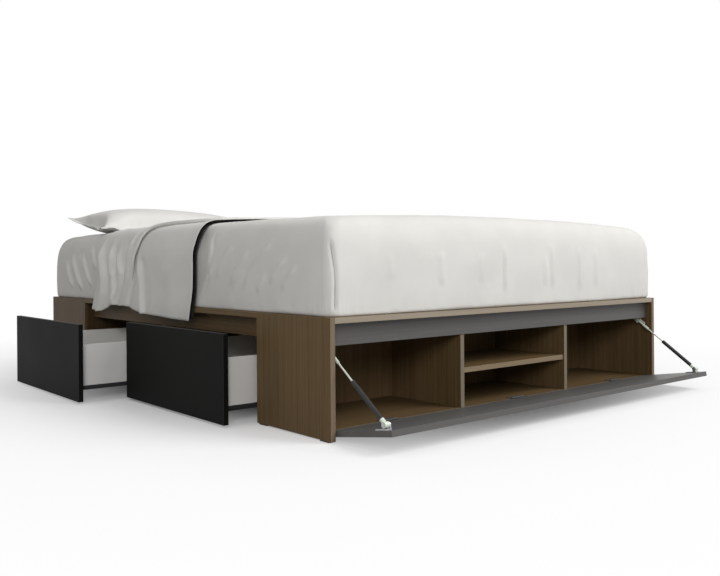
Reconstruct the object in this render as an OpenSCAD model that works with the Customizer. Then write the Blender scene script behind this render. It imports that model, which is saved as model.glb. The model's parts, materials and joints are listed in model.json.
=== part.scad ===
// Platform storage bed: two drawers in the long side, and a drop-down flap at the foot
// over a three-bay cabinet. +Z is up, the foot faces -Y and the drawers open towards -X.
// The origin is on the floor under the middle of the platform.
// The drawers and the flap are drawn partly open, at the places given below.

/* [Platform] */
// Width of the platform
bed_w = 1580; // [1500:5:1700]
// Length of the platform
bed_l = 2080; // [2040:5:2200]
// Height of the platform top above the floor
bed_h = 327; // [322:1:345]
// Thickness of the laminated boards
board = 16; // [15:0.5:18]
// Depth of the foot cabinet, with its back board
foot_depth = 354; // [350:1:420]
// Depth of the closed box at the head
head_depth = 387; // [300:1:450]
// Set-back of the side rails from the platform edge
rail_setback = 40; // [30:1:60]
// Height of the rails under the top boards
rail_h = 61; // [50:1:66]
// Width of the top board along each long side
side_top_w = 60; // [58:1:90]
// Diameter of a floor glide
glide_d = 40; // [30:1:50]
// Height of a floor glide
glide_h = 3; // [2:0.5:5]

/* [Slats] */
// Number of slats between the foot and head boards
slat_count = 14; // [10:1:16]
// Width of a slat
slat_w = 70; // [50:1:78]
// Width of the ledges that carry the slats
ledge_w = 40; // [30:1:60]
// Height of the ledges
ledge_h = 22; // [18:1:30]
// Play at each end of a slat
slat_play = 2; // [1:0.5:4]

/* [Foot cabinet] */
// Set-back of the charcoal rail from the foot face
foot_rail_setback = 25; // [25:1:30]
// Set-back of the dividers from the foot face
divider_setback = 28; // [27:1:40]
// Set-back of the floor board from the foot face
floor_setback = 31; // [31:0.5:36]
// Height of the cabinet floor's top face
floor_top = 27; // [26:1:32]
// Height of the shelf's underside
shelf_z = 131; // [90:1:180]
// Set-back of the shelf behind the dividers' front edges
shelf_setback = 4; // [2:1:60]
// Play at each end of the shelf
shelf_play = 0.5; // [0.3:0.1:1]
// Diameter of a shelf pin
pin_d = 5; // [4:0.5:7]
// Depth of a shelf pin in the divider
pin_in = 9; // [6:0.5:12]
// Distance of the shelf pins from the shelf's front and from the cabinet's back
pin_inset = 50; // [30:5:80]
// Length of a shelf pin under the shelf
pin_out = 10; // [7:0.5:14]
// Diameter of a cam lock
cam_d = 15; // [12:0.5:18]
// Depth of a cam lock
cam_depth = 12; // [9:0.5:12.5]

/* [Flap] */
// How far the shut flap laps over the charcoal rail
flap_lap = 24; // [17:1:27]
// Set-back of the shut flap from the foot face
flap_setback = 8; // [5:0.5:8]
// Gap at each end of the flap
flap_gap = 2; // [1.5:0.5:4]
// Angle by which the flap is drawn open
flap_open = 81; // [60:1:85]

/* [Flap hinges] */
// Length of a hinge
hinge_l = 60; // [40:1:90]
// Distance of the outer hinges from the middle
hinge_x = 560; // [400:5:640]
// Outer radius of a hinge knuckle
knuckle_r = 2.5; // [2.3:0.1:2.8]
// Diameter of a hinge pin
hinge_pin_d = 2.6; // [2:0.1:2.8]
// Thickness of a hinge leaf
leaf_t = 1.2; // [0.8:0.1:1.5]
// Width of a hinge leaf
leaf_w = 26; // [20:1:34]
// Diameter of a leaf's screw holes
leaf_hole_d = 4; // [3:0.5:5]

/* [Stays] */
// How much nearer the flap's hinge axis the stay pivots are than the charcoal rail is
stay_drop = 9.2; // [8.6:0.1:14]
// Height of the stay's pivot above the flap's inner face
stay_off = 12.5; // [12:0.5:14]
// Distance between a stay's two pivots when the flap is shut
stay_shut = 15; // [15:0.5:17]
// Distance of a stay's axis from the side panel
stay_x = 15; // [14:0.5:16]
// Diameter of the stay's tube
tube_d = 13; // [10:0.5:13]
// Place along the stay where the tube ends
tube_end = 156; // [80:1:175]
// Diameter of the stay's rod
rod_d = 5; // [4:0.5:6]
// Diameter of the end fitting on the flap
cap_d = 16; // [14:0.5:16]
// Length of the end fitting's sleeve
sleeve_end = 19; // [14:1:30]
// Diameter of the pale ferrule on the rod
ferrule_d = 9; // [8:0.5:10]
// Length of the ferrule
ferrule_l = 26; // [15:1:30]
// Place along the stay where the ferrule starts
ferrule_start = 230; // [180:1:236]
// Length of the stop head at the rod's end
stop_l = 7; // [4:0.5:8]
// Diameter of the swivel guide
guide_d = 18; // [17:0.5:19]
// Length of the swivel guide
guide_l = 11; // [9:0.5:12]
// Diameter of the guide's bore
guide_bore = 13.6; // [13.5:0.1:14.5]
// Diameter of the guide's trunnion
trunnion_d = 8; // [6:0.5:9]
// Diameter of the pin at the flap end
stay_pin_d = 5; // [4:0.5:6]
// Length of the stay's bracket on the flap
bracket_l = 40; // [34:1:44]
// Width of the bracket's ear round its pin
ear_d = 12; // [10:0.5:14]
// Distance from the guide's trunnion to its plate's screw
plate_l = 20; // [17:0.5:22]
// Thickness of the stay's plates
plate_t = 3; // [2:0.5:3.5]

/* [Drawers] */
// Height of the drawer fronts' lower edge above the floor
front_z = 8; // [6:1:14]
// How far the drawer fronts lap over the side rail
front_lap = 20; // [12:1:22]
// Gap beside each drawer front
front_gap = 3; // [2:0.5:4]
// Length of a drawer box, behind its front
box_l = 600; // [500:5:640]
// Thickness of the drawer box boards
box_t = 12; // [10:0.5:14]
// Height of the drawer box sides
box_h = 140; // [120:1:150]
// Height of the drawer box's lower edge above the floor
box_z = 58; // [55:1:62]
// Gap between a drawer box and the boards beside it
box_side_gap = 26; // [24:0.5:30]
// Thickness of the drawer bottom
bottom_t = 8; // [5:0.5:9]
// Height of the bottom above the box's lower edge
bottom_up = 6; // [4:0.5:10]
// Depth of the groove that holds the bottom
groove = 4; // [3:0.5:6]
// How far the near drawer is drawn open
drawer_1_open = 110; // [0:5:400]
// How far the far drawer is drawn open
drawer_2_open = 277; // [0:1:400]
// Travel of a drawer from shut to fully open
drawer_travel = 450; // [420:5:460]

/* [Runners] */
// Gap for the runner between the batten and the drawer box
runner_gap = 12.5; // [12:0.5:14]
// Sheet thickness of the runners
runner_t = 1.2; // [1:0.1:1.5]
// Height of the dark rail under each drawer side
runner_drop = 13; // [11:0.5:15]
// Diameter of a runner roller
roller_d = 18; // [14:0.5:18]
// Width of a runner roller
roller_w = 6; // [5:0.5:6.5]
// Diameter of a roller's axle
axle_d = 4; // [3:0.5:5]
// Height of a runner batten
batten_h = 44; // [38:1:50]

/* [Bedding] */
// Width of the mattress
mattress_w = 1564; // [1400:2:1568]
// Length of the mattress
mattress_l = 2064; // [1990:2:2068]
// Height of the mattress at its edges
mattress_h = 265; // [200:1:300]
// Rise of the mattress towards its middle
mattress_crown = 25; // [10:1:35]
// Rise of the mattress from its ends towards its middle
mattress_rise = 13; // [0:1:20]
// Radius of the mattress corners seen from above
mattress_corner = 35; // [25:1:90]
// Width of the pillow
pillow_w = 760; // [600:5:760]
// Depth of the pillow
pillow_d = 420; // [360:5:440]
// Height of the pillow
pillow_h = 112; // [90:1:140]
// Share of its height that the pillow loses towards the middle of the bed
pillow_fall = 0.3; // [0:0.05:0.4]
// Distance of the pillow from the mattress's drawer side
pillow_side = 28; // [10:1:60]
// Distance of the pillow from the mattress's head end
pillow_head = 90; // [60:1:95]
// Height to which the pillow's outer corner lifts
pillow_ear = 72; // [20:1:90]
// Distance from the foot face to the top sheet's edge nearest the foot
sheet_start = 725; // [500:5:800]
// Width of the top sheet's band across the bed
sheet_band = 755; // [500:5:760]
// How far the edge nearest the foot swings headwards down to its hem
sheet_swing = 22; // [0:1:90]
// How much wider the band is at its hems
sheet_flare = 90; // [0:5:150]
// Share of the band that is folded double
sheet_fold = 0.58; // [0.35:0.01:0.65]
// Height of the top sheet's lower hem above the floor
sheet_hem = 285; // [279:1:320]
// Thickness of one layer of the top sheet
sheet_t = 5; // [4:0.5:7]
// Depth of the top sheet's hanging folds
sheet_wave = 11; // [4:1:14]

/* [Hidden] */
$fn = 48;

walnut = [0.36, 0.28, 0.21];
edge_band = [0.56, 0.48, 0.40];
charcoal = [0.27, 0.27, 0.27];
front_black = [0.12, 0.12, 0.12];
box_grey = [0.80, 0.80, 0.78];
pine = [0.78, 0.66, 0.48];
steel = [0.66, 0.67, 0.68];
dark_steel = [0.16, 0.16, 0.17];
pale_plastic = [0.84, 0.87, 0.82];
linen = [0.90, 0.90, 0.88];

fit = 0.05;       // radial clearance of a pin or roller that turns
loose = 0.1;      // radial clearance of a piece set in a bored seat
knuckle_air = 0.3; // gap between a knuckle and the boards beside it
roll_gap = 0.3;   // gap between a roller and the flange that it runs on
rest_gap = 0.8;   // gap under soft pieces that lie on the mattress

// Outer faces of the platform
left = -bed_w / 2;
right = bed_w / 2;
foot = -bed_l / 2;
head = bed_l / 2;
board_z = bed_h - board;                 // underside of the top boards
side_in = left + board;                  // inner face of the left side panels
foot_back = foot + foot_depth;           // drawer side of the foot cabinet's back
head_front = head - head_depth;          // drawer side of the head partition
rail_z = board_z - rail_h;               // underside of the rails
rail_out = left + rail_setback;          // outer face of the left side rail
rail_in = rail_out + board;

// Foot cabinet
cabinet_front = foot + divider_setback;
cabinet_back = foot_back - board;
foot_rail_y = foot + foot_rail_setback;
inner_w = bed_w - 2 * board;
bay_w = (inner_w - 2 * board) / 3;       // three equal bays
divider_x = bay_w / 2;                   // inner face of each divider
shelf_front = cabinet_front + shelf_setback;

// Flap: its height, its hinge axis, and the shut flap
flap_h = rail_z + flap_lap - floor_top;
flap_in = foot + flap_setback + board;   // inner face when shut
flap_w = inner_w - 2 * flap_gap;
hinge_y = flap_in + knuckle_r + knuckle_air;
hinge_z = floor_top + knuckle_r + knuckle_air;

// Stays: both pivots lie on one circle about the hinge axis, so that the stay turns at
// exactly half the flap's rate and always passes through its guide
stay_r = rail_z - hinge_z - stay_drop;
lug_angle = acos((stay_off - knuckle_r - knuckle_air) / stay_r);
guide_angle = lug_angle - 2 * asin(stay_shut / (2 * stay_r));
function on_circle(angle) = [hinge_y + stay_r * cos(angle), hinge_z + stay_r * sin(angle)];
lug = on_circle(lug_angle + flap_open);              // [y, z] of the pivot on the flap
guide = on_circle(guide_angle);                      // [y, z] of the pivot on the panel
stay_l = norm(guide - lug);                          // between the pivots as drawn
stay_tilt = atan2(guide[1] - lug[1], guide[0] - lug[0]);
strut_end = stay_l + guide_l / 2 + 1 + stop_l;
stay_axis_x = inner_w / 2 - stay_x;                  // distance of each stay from the middle

// Drawer bays
drawer_y0 = foot_back;
drawer_y1 = head_front;
mid_y = (drawer_y0 + drawer_y1) / 2;
front_w = (drawer_y1 - drawer_y0 - 3 * front_gap) / 2;
bay_l = (drawer_y1 - drawer_y0 - board) / 2;         // clear width of each drawer bay
box_w = bay_l - 2 * box_side_gap;
front_in = left + board;                             // back of a shut drawer front
front_top = rail_z + front_lap;                      // upper edge of the drawer fronts
track_x = front_in + 4;                              // front end of the tracks
roller_z = box_z - runner_drop - roll_gap - roller_d / 2;   // height of the roller axles
track_z = roller_z - roller_d / 2 - roll_gap - runner_t;    // underside of the tracks
batten_t = box_side_gap - runner_gap;
track_l = box_l - 4;
track_roller_x = track_x + roller_d / 2 + 2;
rear_roller_x = front_in + box_l - roller_d / 2 - 4;
stop_x = rear_roller_x - drawer_travel - roller_d / 2 - 1;
roller_inset = 2;                                    // gap from the batten's steel web to a roller

// Mattress
deck_z = bed_h;
ma = mattress_w / 2;
mb = mattress_l / 2;
edge_z = deck_z + mattress_h;
function mattress_top(x, y) =
  edge_z + mattress_crown * (1 - pow(min(1, abs(x) / ma), 2.6))
         + mattress_rise * (1 - pow(min(1, abs(y) / mb), 4));

module block(x0, x1, y0, y1, z0, z1)
  translate([x0, y0, z0]) cube([x1 - x0, y1 - y0, z1 - z0]);

// A cylinder along X or Y, from its start
module bar_x(x0, x1, y, z, d) translate([x0, y, z]) rotate([0, 90, 0]) cylinder(d = d, h = x1 - x0);
module bar_y(y0, y1, x, z, d) translate([x, y0, z]) rotate([-90, 0, 0]) cylinder(d = d, h = y1 - y0);

module mirrored_x(s) {
  if (s < 0) mirror([1, 0, 0]) children();
  else children();
}

// ---------------------------------------------------------------- platform boards

module end_side_panel(s, y0, y1) color(walnut)
  block(s > 0 ? right - board : left, s > 0 ? right : left + board, y0, y1, glide_h, bed_h);

module foot_side_panel_left() end_side_panel(-1, foot, foot_back);
module foot_side_panel_right() end_side_panel(1, foot, foot_back);
module head_side_panel_left() end_side_panel(-1, head_front, head);
module head_side_panel_right() end_side_panel(1, head_front, head);

module far_side_panel() color(walnut)
  block(right - board, right, foot_back, head_front, glide_h, board_z);

// Middles of the cam locks under the foot top board
cam_y = [foot_rail_y + board + 45, cabinet_back - 40];
cam_x = [-inner_w / 2 + 34, -divider_x - board - 26, divider_x + board + 26, inner_w / 2 - 34];

module foot_top_board() color(walnut) difference() {
  block(-inner_w / 2, inner_w / 2, foot, foot_back, board_z, bed_h);
  for (x = cam_x, y = cam_y)
    translate([x, y, board_z - 1]) cylinder(d = cam_d + 2 * loose, h = cam_depth + 1);
}

module cam_locks() color(steel)
  for (x = cam_x, y = cam_y) translate([x, y, board_z]) difference() {
    cylinder(d = cam_d, h = cam_depth);
    translate([-cam_d * 0.35, -1, -1]) cube([cam_d * 0.7, 2, 3]);
    translate([-1, -cam_d * 0.35, -1]) cube([2, cam_d * 0.7, 3]);
  }

module head_top_board() color(walnut)
  block(-inner_w / 2, inner_w / 2, head_front, head, board_z, bed_h);

module side_top_boards() color(walnut) for (s = [-1, 1])
  block(s > 0 ? right - side_top_w : left, s > 0 ? right : left + side_top_w,
        foot_back, head_front, board_z, bed_h);

module foot_rail() color(charcoal)
  block(-inner_w / 2, inner_w / 2, foot_rail_y, foot_rail_y + board, rail_z, board_z);

module side_rails() color(walnut) for (s = [-1, 1])
  block(s > 0 ? -rail_in : rail_out, s > 0 ? -rail_out : rail_in, foot_back, head_front, rail_z, board_z);

module slat_ledges() color(pine) for (s = [-1, 1])
  block(s > 0 ? -rail_in - ledge_w : rail_in, s > 0 ? -rail_in : rail_in + ledge_w,
        foot_back, head_front, board_z - ledge_h, board_z);

slat_half = bed_w / 2 - side_top_w - slat_play;
slat_pitch = (head_front - foot_back - slat_w - 2 * slat_play) / (slat_count - 1);
module slats() color(pine) for (i = [0 : slat_count - 1])
  block(-slat_half, slat_half, foot_back + slat_play + i * slat_pitch,
        foot_back + slat_play + i * slat_pitch + slat_w, board_z, bed_h);

module centre_spine() color(walnut)
  block(-board / 2, board / 2, foot_back, head_front, glide_h, board_z);

module head_partition() color(walnut)
  block(-inner_w / 2, inner_w / 2, head_front, head_front + board, glide_h, board_z);

module head_end_panel() color(walnut)
  block(-inner_w / 2, inner_w / 2, head - board, head, glide_h, board_z);

// The board between the drawers, cut away at its upper front corner for the side rail
module drawer_partition() color(walnut) difference() {
  block(track_x - 2, -board / 2, mid_y - board / 2, mid_y + board / 2, glide_h, board_z);
  block(track_x - 3, rail_in, mid_y - board, mid_y + board, rail_z, board_z + 1);
  block(rail_in - 1, rail_in + ledge_w, mid_y - board, mid_y + board, board_z - ledge_h, board_z + 1);
}

// Feet: [x, y, top] of each glide
glide_in = glide_d / 2 + 10;
glides = [
  for (x = [left + board / 2, right - board / 2], y = [foot + glide_in, foot_back - glide_in,
            head_front + glide_in, head - glide_in]) [x, y, glide_h],
  [right - board / 2, 0, glide_h],
  for (y = [foot_back + glide_in, 0, head_front - glide_in]) [0, y, glide_h],
  for (x = [-divider_x - board / 2, divider_x + board / 2], y = [foot + floor_setback + glide_in,
            cabinet_back - glide_in]) [x, y, floor_top - board],
  for (x = [-inner_w / 4, inner_w / 4]) [x, head - board / 2, glide_h],
  for (x = [-inner_w / 4, inner_w / 4]) [x, head_front + board / 2, glide_h],
  [track_x + 40, mid_y, glide_h]
];
// Glides under the outer panels are cut flush with the platform's faces
module floor_glides() color(dark_steel) intersection() {
  for (g = glides) translate([g[0], g[1], 0]) cylinder(d = glide_d, h = g[2]);
  block(left, right, foot, head, -1, bed_h);
}

// ---------------------------------------------------------------- foot cabinet

module foot_floor_board() color(walnut)
  block(-inner_w / 2, inner_w / 2, foot + floor_setback, cabinet_back, floor_top - board, floor_top);

module foot_back_board() color(walnut)
  block(-inner_w / 2, inner_w / 2, cabinet_back, foot_back, glide_h, board_z);

// Height and places of the shelf pins
pin_z = shelf_z - pin_d / 2;
pin_y = [shelf_front + pin_inset, cabinet_back - pin_inset];

module divider(s) color(walnut) mirrored_x(s) difference() {
  block(divider_x, divider_x + board, cabinet_front, cabinet_back, floor_top, board_z);
  block(divider_x - 1, divider_x + board + 1, cabinet_front - 1, foot_rail_y + board, rail_z, board_z + 1);
  for (y = pin_y) bar_x(divider_x - 1, divider_x + pin_in, y, pin_z, pin_d + 2 * loose);
}
module divider_left() divider(-1);
module divider_right() divider(1);

module centre_shelf() color(walnut)
  block(-divider_x + shelf_play, divider_x - shelf_play, shelf_front, cabinet_back - shelf_play,
        shelf_z, shelf_z + board);

module shelf_pins() color(steel) for (s = [-1, 1], y = pin_y) mirrored_x(s)
  bar_x(divider_x - pin_out, divider_x + pin_in - 0.5, y, pin_z, pin_d);

// ---------------------------------------------------------------- flap and hinges

// Turns the shut flap's pieces to the place where the flap is drawn
module with_flap() translate([0, hinge_y, hinge_z]) rotate([flap_open, 0, 0])
  translate([0, -hinge_y, -hinge_z]) children();

module flap() color(charcoal) with_flap()
  block(-flap_w / 2, flap_w / 2, flap_in - board, flap_in, floor_top, floor_top + flap_h);

hinge_at = [-hinge_x, 0, hinge_x];
knuckle_l = hinge_l / 3;

// One knuckle with its bore, from x0 to x1
module knuckle(x0, x1) difference() {
  bar_x(x0, x1, hinge_y, hinge_z, 2 * knuckle_r);
  bar_x(x0 - 1, x1 + 1, hinge_y, hinge_z, hinge_pin_d + 2 * fit);
}

module hinge_leaves_cabinet() color(steel) for (x = hinge_at) translate([x, 0, 0]) {
  for (s = [-1, 1]) {
    a = s > 0 ? knuckle_l / 2 + 0.2 : -hinge_l / 2;
    b = s > 0 ? hinge_l / 2 : -knuckle_l / 2 - 0.2;
    knuckle(a, b);
    difference() {
      block(a, b, hinge_y, hinge_y + leaf_w, floor_top, floor_top + leaf_t);
      bar_x(a - 1, b + 1, hinge_y, hinge_z, 2 * knuckle_r - 0.6);
    }
  }
  difference() {
    block(-hinge_l / 2, hinge_l / 2, hinge_y + knuckle_r + 1.5, hinge_y + leaf_w, floor_top, floor_top + leaf_t);
    for (s = [-1, 1]) translate([s * knuckle_l, hinge_y + leaf_w * 0.62, floor_top - 1])
      cylinder(d = leaf_hole_d, h = leaf_t + 2);
  }
}

module hinge_leaves_flap() color(steel) with_flap() for (x = hinge_at) translate([x, 0, 0]) {
  knuckle(-knuckle_l / 2, knuckle_l / 2);
  difference() {
    block(-knuckle_l / 2, knuckle_l / 2, flap_in, flap_in + leaf_t, hinge_z, hinge_z + leaf_w);
    bar_x(-hinge_l, hinge_l, hinge_y, hinge_z, 2 * knuckle_r - 0.6);
  }
  difference() {
    block(-hinge_l / 2, hinge_l / 2, flap_in, flap_in + leaf_t, hinge_z + knuckle_r + 1.5, hinge_z + leaf_w);
    for (s = [-1, 1]) translate([s * knuckle_l, flap_in - 1, hinge_z + leaf_w * 0.62])
      rotate([-90, 0, 0]) cylinder(d = leaf_hole_d, h = leaf_t + 2);
  }
}

module hinge_pins() color(steel) for (x = hinge_at)
  bar_x(x - hinge_l / 2, x + hinge_l / 2, hinge_y, hinge_z, hinge_pin_d);

// ---------------------------------------------------------------- stays

plate_x = inner_w / 2;                    // face of the right side panel
lug_inner = stay_axis_x - cap_d / 2;      // inner end of the end fitting
ear_x = lug_inner - 0.5 - plate_t;        // inner face of the flap bracket's ear

module on_both_sides() for (s = [-1, 1]) mirrored_x(s) children();

// Plate on the side panel, with a boss whose bore takes the guide's trunnion
plate_w = trunnion_d + 6;                 // across the plate's round ends
neck_w = plate_w - 1.5;                   // across the strip between them
boss_x = stay_axis_x + guide_d / 2 + 0.5; // inner end of the boss
module stay_panel_plates() color(pale_plastic) on_both_sides() difference() {
  union() {
    translate([plate_x - plate_t, guide[0], guide[1]]) rotate([stay_tilt, 0, 0]) {
      translate([0, -plate_l, -neck_w / 2]) cube([plate_t, plate_l, neck_w]);
      translate([0, -plate_l, 0]) rotate([0, 90, 0]) cylinder(d = plate_w, h = plate_t);
    }
    bar_x(min(boss_x, plate_x - plate_t), plate_x, guide[0], guide[1], plate_w);
  }
  bar_x(boss_x - 2, plate_x + 1, guide[0], guide[1], trunnion_d + 2 * fit);
  translate([plate_x - plate_t - 1, guide[0], guide[1]]) rotate([stay_tilt, 0, 0])
    translate([0, -plate_l, 0]) rotate([0, 90, 0]) cylinder(d = leaf_hole_d, h = plate_t + 2);
}

// Places a piece whose stay runs along +X from the origin, with its pin along Z
module along_stay(s, at) mirrored_x(s) translate([stay_axis_x, at[0], at[1]])
  rotate([stay_tilt, 0, 0]) rotate([0, 0, 90]) children();

// The guide swivels in its plate and lets the stay slide through it
module stay_guide(s) color(pale_plastic) difference() {
  union() {
    along_stay(s, guide) translate([-guide_l / 2, 0, 0]) rotate([0, 90, 0]) cylinder(d = guide_d, h = guide_l);
    mirrored_x(s) bar_x(stay_axis_x + guide_bore / 2, plate_x - 0.5, guide[0], guide[1], trunnion_d);
  }
  along_stay(s, guide) translate([-guide_l, 0, 0]) rotate([0, 90, 0]) cylinder(d = guide_bore, h = 2 * guide_l);
}

// End fitting: an eye on the flap's pin, and a sleeve round the foot of the tube
module stay_end_fitting(s) color(pale_plastic) difference() {
  union() {
    mirrored_x(s) bar_x(lug_inner, lug_inner + cap_d, lug[0], lug[1], cap_d);
    along_stay(s, lug) rotate([0, 90, 0]) cylinder(d = tube_d, h = sleeve_end);
  }
  mirrored_x(s) bar_x(lug_inner - 1, lug_inner + cap_d + 1, lug[0], lug[1], stay_pin_d + 2 * fit);
}

// Tube and rod in one turned strut, with a ferrule and the stop head behind the guide
module stay_strut(s) color(dark_steel) along_stay(s, lug) rotate([0, 90, 0]) {
  translate([0, 0, sleeve_end]) cylinder(d = tube_d, h = tube_end - sleeve_end);
  translate([0, 0, tube_end]) cylinder(d = rod_d, h = strut_end - tube_end);
  translate([0, 0, ferrule_start]) cylinder(d = ferrule_d, h = ferrule_l);
  translate([0, 0, strut_end - stop_l]) cylinder(d = guide_bore + 2, h = stop_l);
}

// Bracket on the flap: base plate, one ear and the pin on which the stay's eye turns
lug_shut = on_circle(lug_angle);
bracket_top = lug_shut[1] + ear_d / 2 + 1; // stays under the charcoal rail when the flap is shut
module stay_flap_brackets() color(steel) with_flap() on_both_sides() {
  difference() {
    block(ear_x, lug_inner + cap_d, flap_in, flap_in + plate_t, bracket_top - bracket_l, bracket_top);
    for (s = [0.42, 0.82]) translate([lug_inner + cap_d / 2 + 2, flap_in - 1, bracket_top - s * bracket_l])
      rotate([-90, 0, 0]) cylinder(d = leaf_hole_d, h = plate_t + 2);
  }
  block(ear_x, ear_x + plate_t, flap_in, lug_shut[0], lug_shut[1] - ear_d / 2 + 0.5, lug_shut[1] + ear_d / 2 - 0.5);
  bar_x(ear_x, ear_x + plate_t, lug_shut[0], lug_shut[1], ear_d);
  bar_x(ear_x, lug_inner + cap_d + 2, lug_shut[0], lug_shut[1], stay_pin_d);
  bar_x(lug_inner + cap_d + 0.4, lug_inner + cap_d + 2, lug_shut[0], lug_shut[1], stay_pin_d + 4);
}

module stay_left_guide() stay_guide(-1);
module stay_right_guide() stay_guide(1);
module stay_left_end_fitting() stay_end_fitting(-1);
module stay_right_end_fitting() stay_end_fitting(1);
module stay_left_strut() stay_strut(-1);
module stay_right_strut() stay_strut(1);

// ---------------------------------------------------------------- drawers and runners

function bay_start(d) = d == 1 ? drawer_y0 : mid_y + board / 2;
function drawn_open(d) = d == 1 ? drawer_1_open : drawer_2_open;

// Both walls of a bay: inside, y counts from the wall into the bay
module at_wall(d, far) {
  if (far) translate([0, bay_start(d) + bay_l, 0]) mirror([0, 1, 0]) children();
  else translate([0, bay_start(d), 0]) children();
}
module at_both_walls(d) for (far = [false, true]) at_wall(d, far) children();
module pulled(d) translate([-drawn_open(d), 0, 0]) children();

module runner_battens() color(pine) for (d = [1, 2]) at_both_walls(d)
  block(track_x, track_x + track_l, 0, batten_t, track_z - 6, track_z - 6 + batten_h);

// Steel track with the axle of its front roller and the stop for the drawer's roller
web_y = batten_t + runner_t;
roller_y = web_y + roller_inset;
module runner_tracks() color(dark_steel) for (d = [1, 2]) at_both_walls(d) {
  block(track_x, track_x + track_l, batten_t, web_y, track_z, roller_z + roller_d / 2 + 6);
  block(track_x, track_x + track_l, batten_t, box_side_gap - 1.5, track_z, track_z + runner_t);
  block(stop_x - 2, stop_x, batten_t, box_side_gap - 1.5, track_z, track_z + runner_t + 3);
  bar_y(batten_t, roller_y + roller_w + 0.5, track_roller_x, roller_z, axle_d);
}

// Dark rail under a drawer side: flange on the roller, web, and tab with the rear axle
module runners(d) color(dark_steel) pulled(d) at_both_walls(d) {
  z = box_z - runner_drop;
  x_end = front_in + box_l;
  block(front_in, x_end, web_y + 1, box_side_gap + runner_t, z, z + runner_t);
  block(front_in, x_end, box_side_gap, box_side_gap + runner_t, z, box_z);
  block(front_in, x_end, box_side_gap, box_side_gap + box_t, box_z - runner_t, box_z);
  block(rear_roller_x - 8, rear_roller_x + 8, box_side_gap - runner_t, box_side_gap, roller_z - 5, z + 0.5);
  bar_y(roller_y - 0.5, box_side_gap, rear_roller_x, roller_z, axle_d);
}

module roller(x) color(pale_plastic) difference() {
  bar_y(roller_y, roller_y + roller_w, x, roller_z, roller_d);
  bar_y(roller_y - 1, roller_y + roller_w + 1, x, roller_z, axle_d + 2 * fit);
}

module box_side(d, far) color(box_grey) pulled(d) at_wall(d, far) difference() {
  block(front_in, front_in + box_l, box_side_gap, box_side_gap + box_t, box_z, box_z + box_h);
  block(front_in + box_t - groove, front_in + box_l + 1, box_side_gap + box_t - groove,
        box_side_gap + box_t + 1, box_z + bottom_up - loose, box_z + bottom_up + bottom_t + loose);
}

box_in0 = box_side_gap + box_t;              // inner faces of the box, from the bay's wall
box_in1 = bay_l - box_side_gap - box_t;

module inner_front(d) color(box_grey) pulled(d) at_wall(d, false) difference() {
  block(front_in, front_in + box_t, box_in0, box_in1, box_z, box_z + box_h);
  block(front_in + box_t - groove, front_in + box_t + 1, box_in0 - 1, box_in1 + 1,
        box_z + bottom_up - loose, box_z + bottom_up + bottom_t + loose);
}

module box_back(d) color(box_grey) pulled(d) at_wall(d, false)
  block(front_in + box_l - box_t, front_in + box_l, box_in0, box_in1,
        box_z + bottom_up + bottom_t, box_z + box_h);

module box_bottom(d) color(box_grey) pulled(d) at_wall(d, false)
  block(front_in + box_t - groove + loose, front_in + box_l, box_in0 - groove + loose,
        box_in1 + groove - loose, box_z + bottom_up, box_z + bottom_up + bottom_t);

module drawer_front(d) color(front_black) pulled(d) {
  y = drawer_y0 + front_gap + (d - 1) * (front_w + front_gap);
  block(left, front_in, y, y + front_w, front_z, front_top);
}

module drawer_1_front() drawer_front(1);
module drawer_1_inner_front() inner_front(1);
module drawer_1_near_side() box_side(1, false);
module drawer_1_far_side() box_side(1, true);
module drawer_1_back() box_back(1);
module drawer_1_bottom() box_bottom(1);
module drawer_1_runners() runners(1);
module drawer_1_rear_rollers() pulled(1) at_both_walls(1) roller(rear_roller_x);
module drawer_1_track_rollers() at_both_walls(1) roller(track_roller_x);
module drawer_2_front() drawer_front(2);
module drawer_2_inner_front() inner_front(2);
module drawer_2_near_side() box_side(2, false);
module drawer_2_far_side() box_side(2, true);
module drawer_2_back() box_back(2);
module drawer_2_bottom() box_bottom(2);
module drawer_2_runners() runners(2);
module drawer_2_rear_rollers() pulled(2) at_both_walls(2) roller(rear_roller_x);
module drawer_2_track_rollers() at_both_walls(2) roller(track_roller_x);

// ---------------------------------------------------------------- bedding

// Rounded rectangle as points, with extra points along its straight sides
side_pts = 8;
corner_pts = 5;
function outline(a, b, r) = let(
    c = [[a - r, b - r], [r - a, b - r], [r - a, r - b], [a - r, r - b]]) [
  for (k = [0 : 3]) each [
    for (i = [0 : corner_pts - 1]) let(t = 90 * k + 90 * i / (corner_pts - 1))
      [c[k][0] + r * cos(t), c[k][1] + r * sin(t)],
    for (i = [1 : side_pts]) let(t = 90 * (k + 1), f = i / (side_pts + 1), n = c[(k + 1) % 4])
      [(1 - f) * c[k][0] + f * n[0] + r * cos(t), (1 - f) * c[k][1] + f * n[1] + r * sin(t)]
  ]];

// Side of the mattress from its foot up: inset, height over the top edge, share of the crown
mattress_side = [
  [14, -mattress_h, 0], [4, -mattress_h + 8, 0], [0, -mattress_h + 24, 0], [-2, -mattress_h * 0.7, 0],
  [-2, -mattress_h * 0.42, 0.1], [1, -52, 0.4], [12, -20, 0.7], [30, -5, 0.9], [60, 0, 1]
];
// Rings over the top, as shares of the last ring of the side
mattress_rings = [0.86, 0.72, 0.55, 0.36, 0.18];

// Skin between rings of points, closed at both ends by a fan
module skin(rings, low, high) {
  n = len(rings[0]);
  m = len(rings);
  polyhedron(
    points = concat([low, high], [for (r = rings) each r]),
    faces = concat(
      [for (i = [0 : n - 1]) [0, 2 + (i + 1) % n, 2 + i]],
      [for (k = [0 : m - 2], i = [0 : n - 1]) each let(
          a = 2 + k * n + i, b = 2 + k * n + (i + 1) % n) [[a, b, b + n], [a, b + n, a + n]]],
      [for (i = [0 : n - 1]) [1, 2 + (m - 1) * n + i, 2 + (m - 1) * n + (i + 1) % n]]),
    convexity = 4);
}

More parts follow.
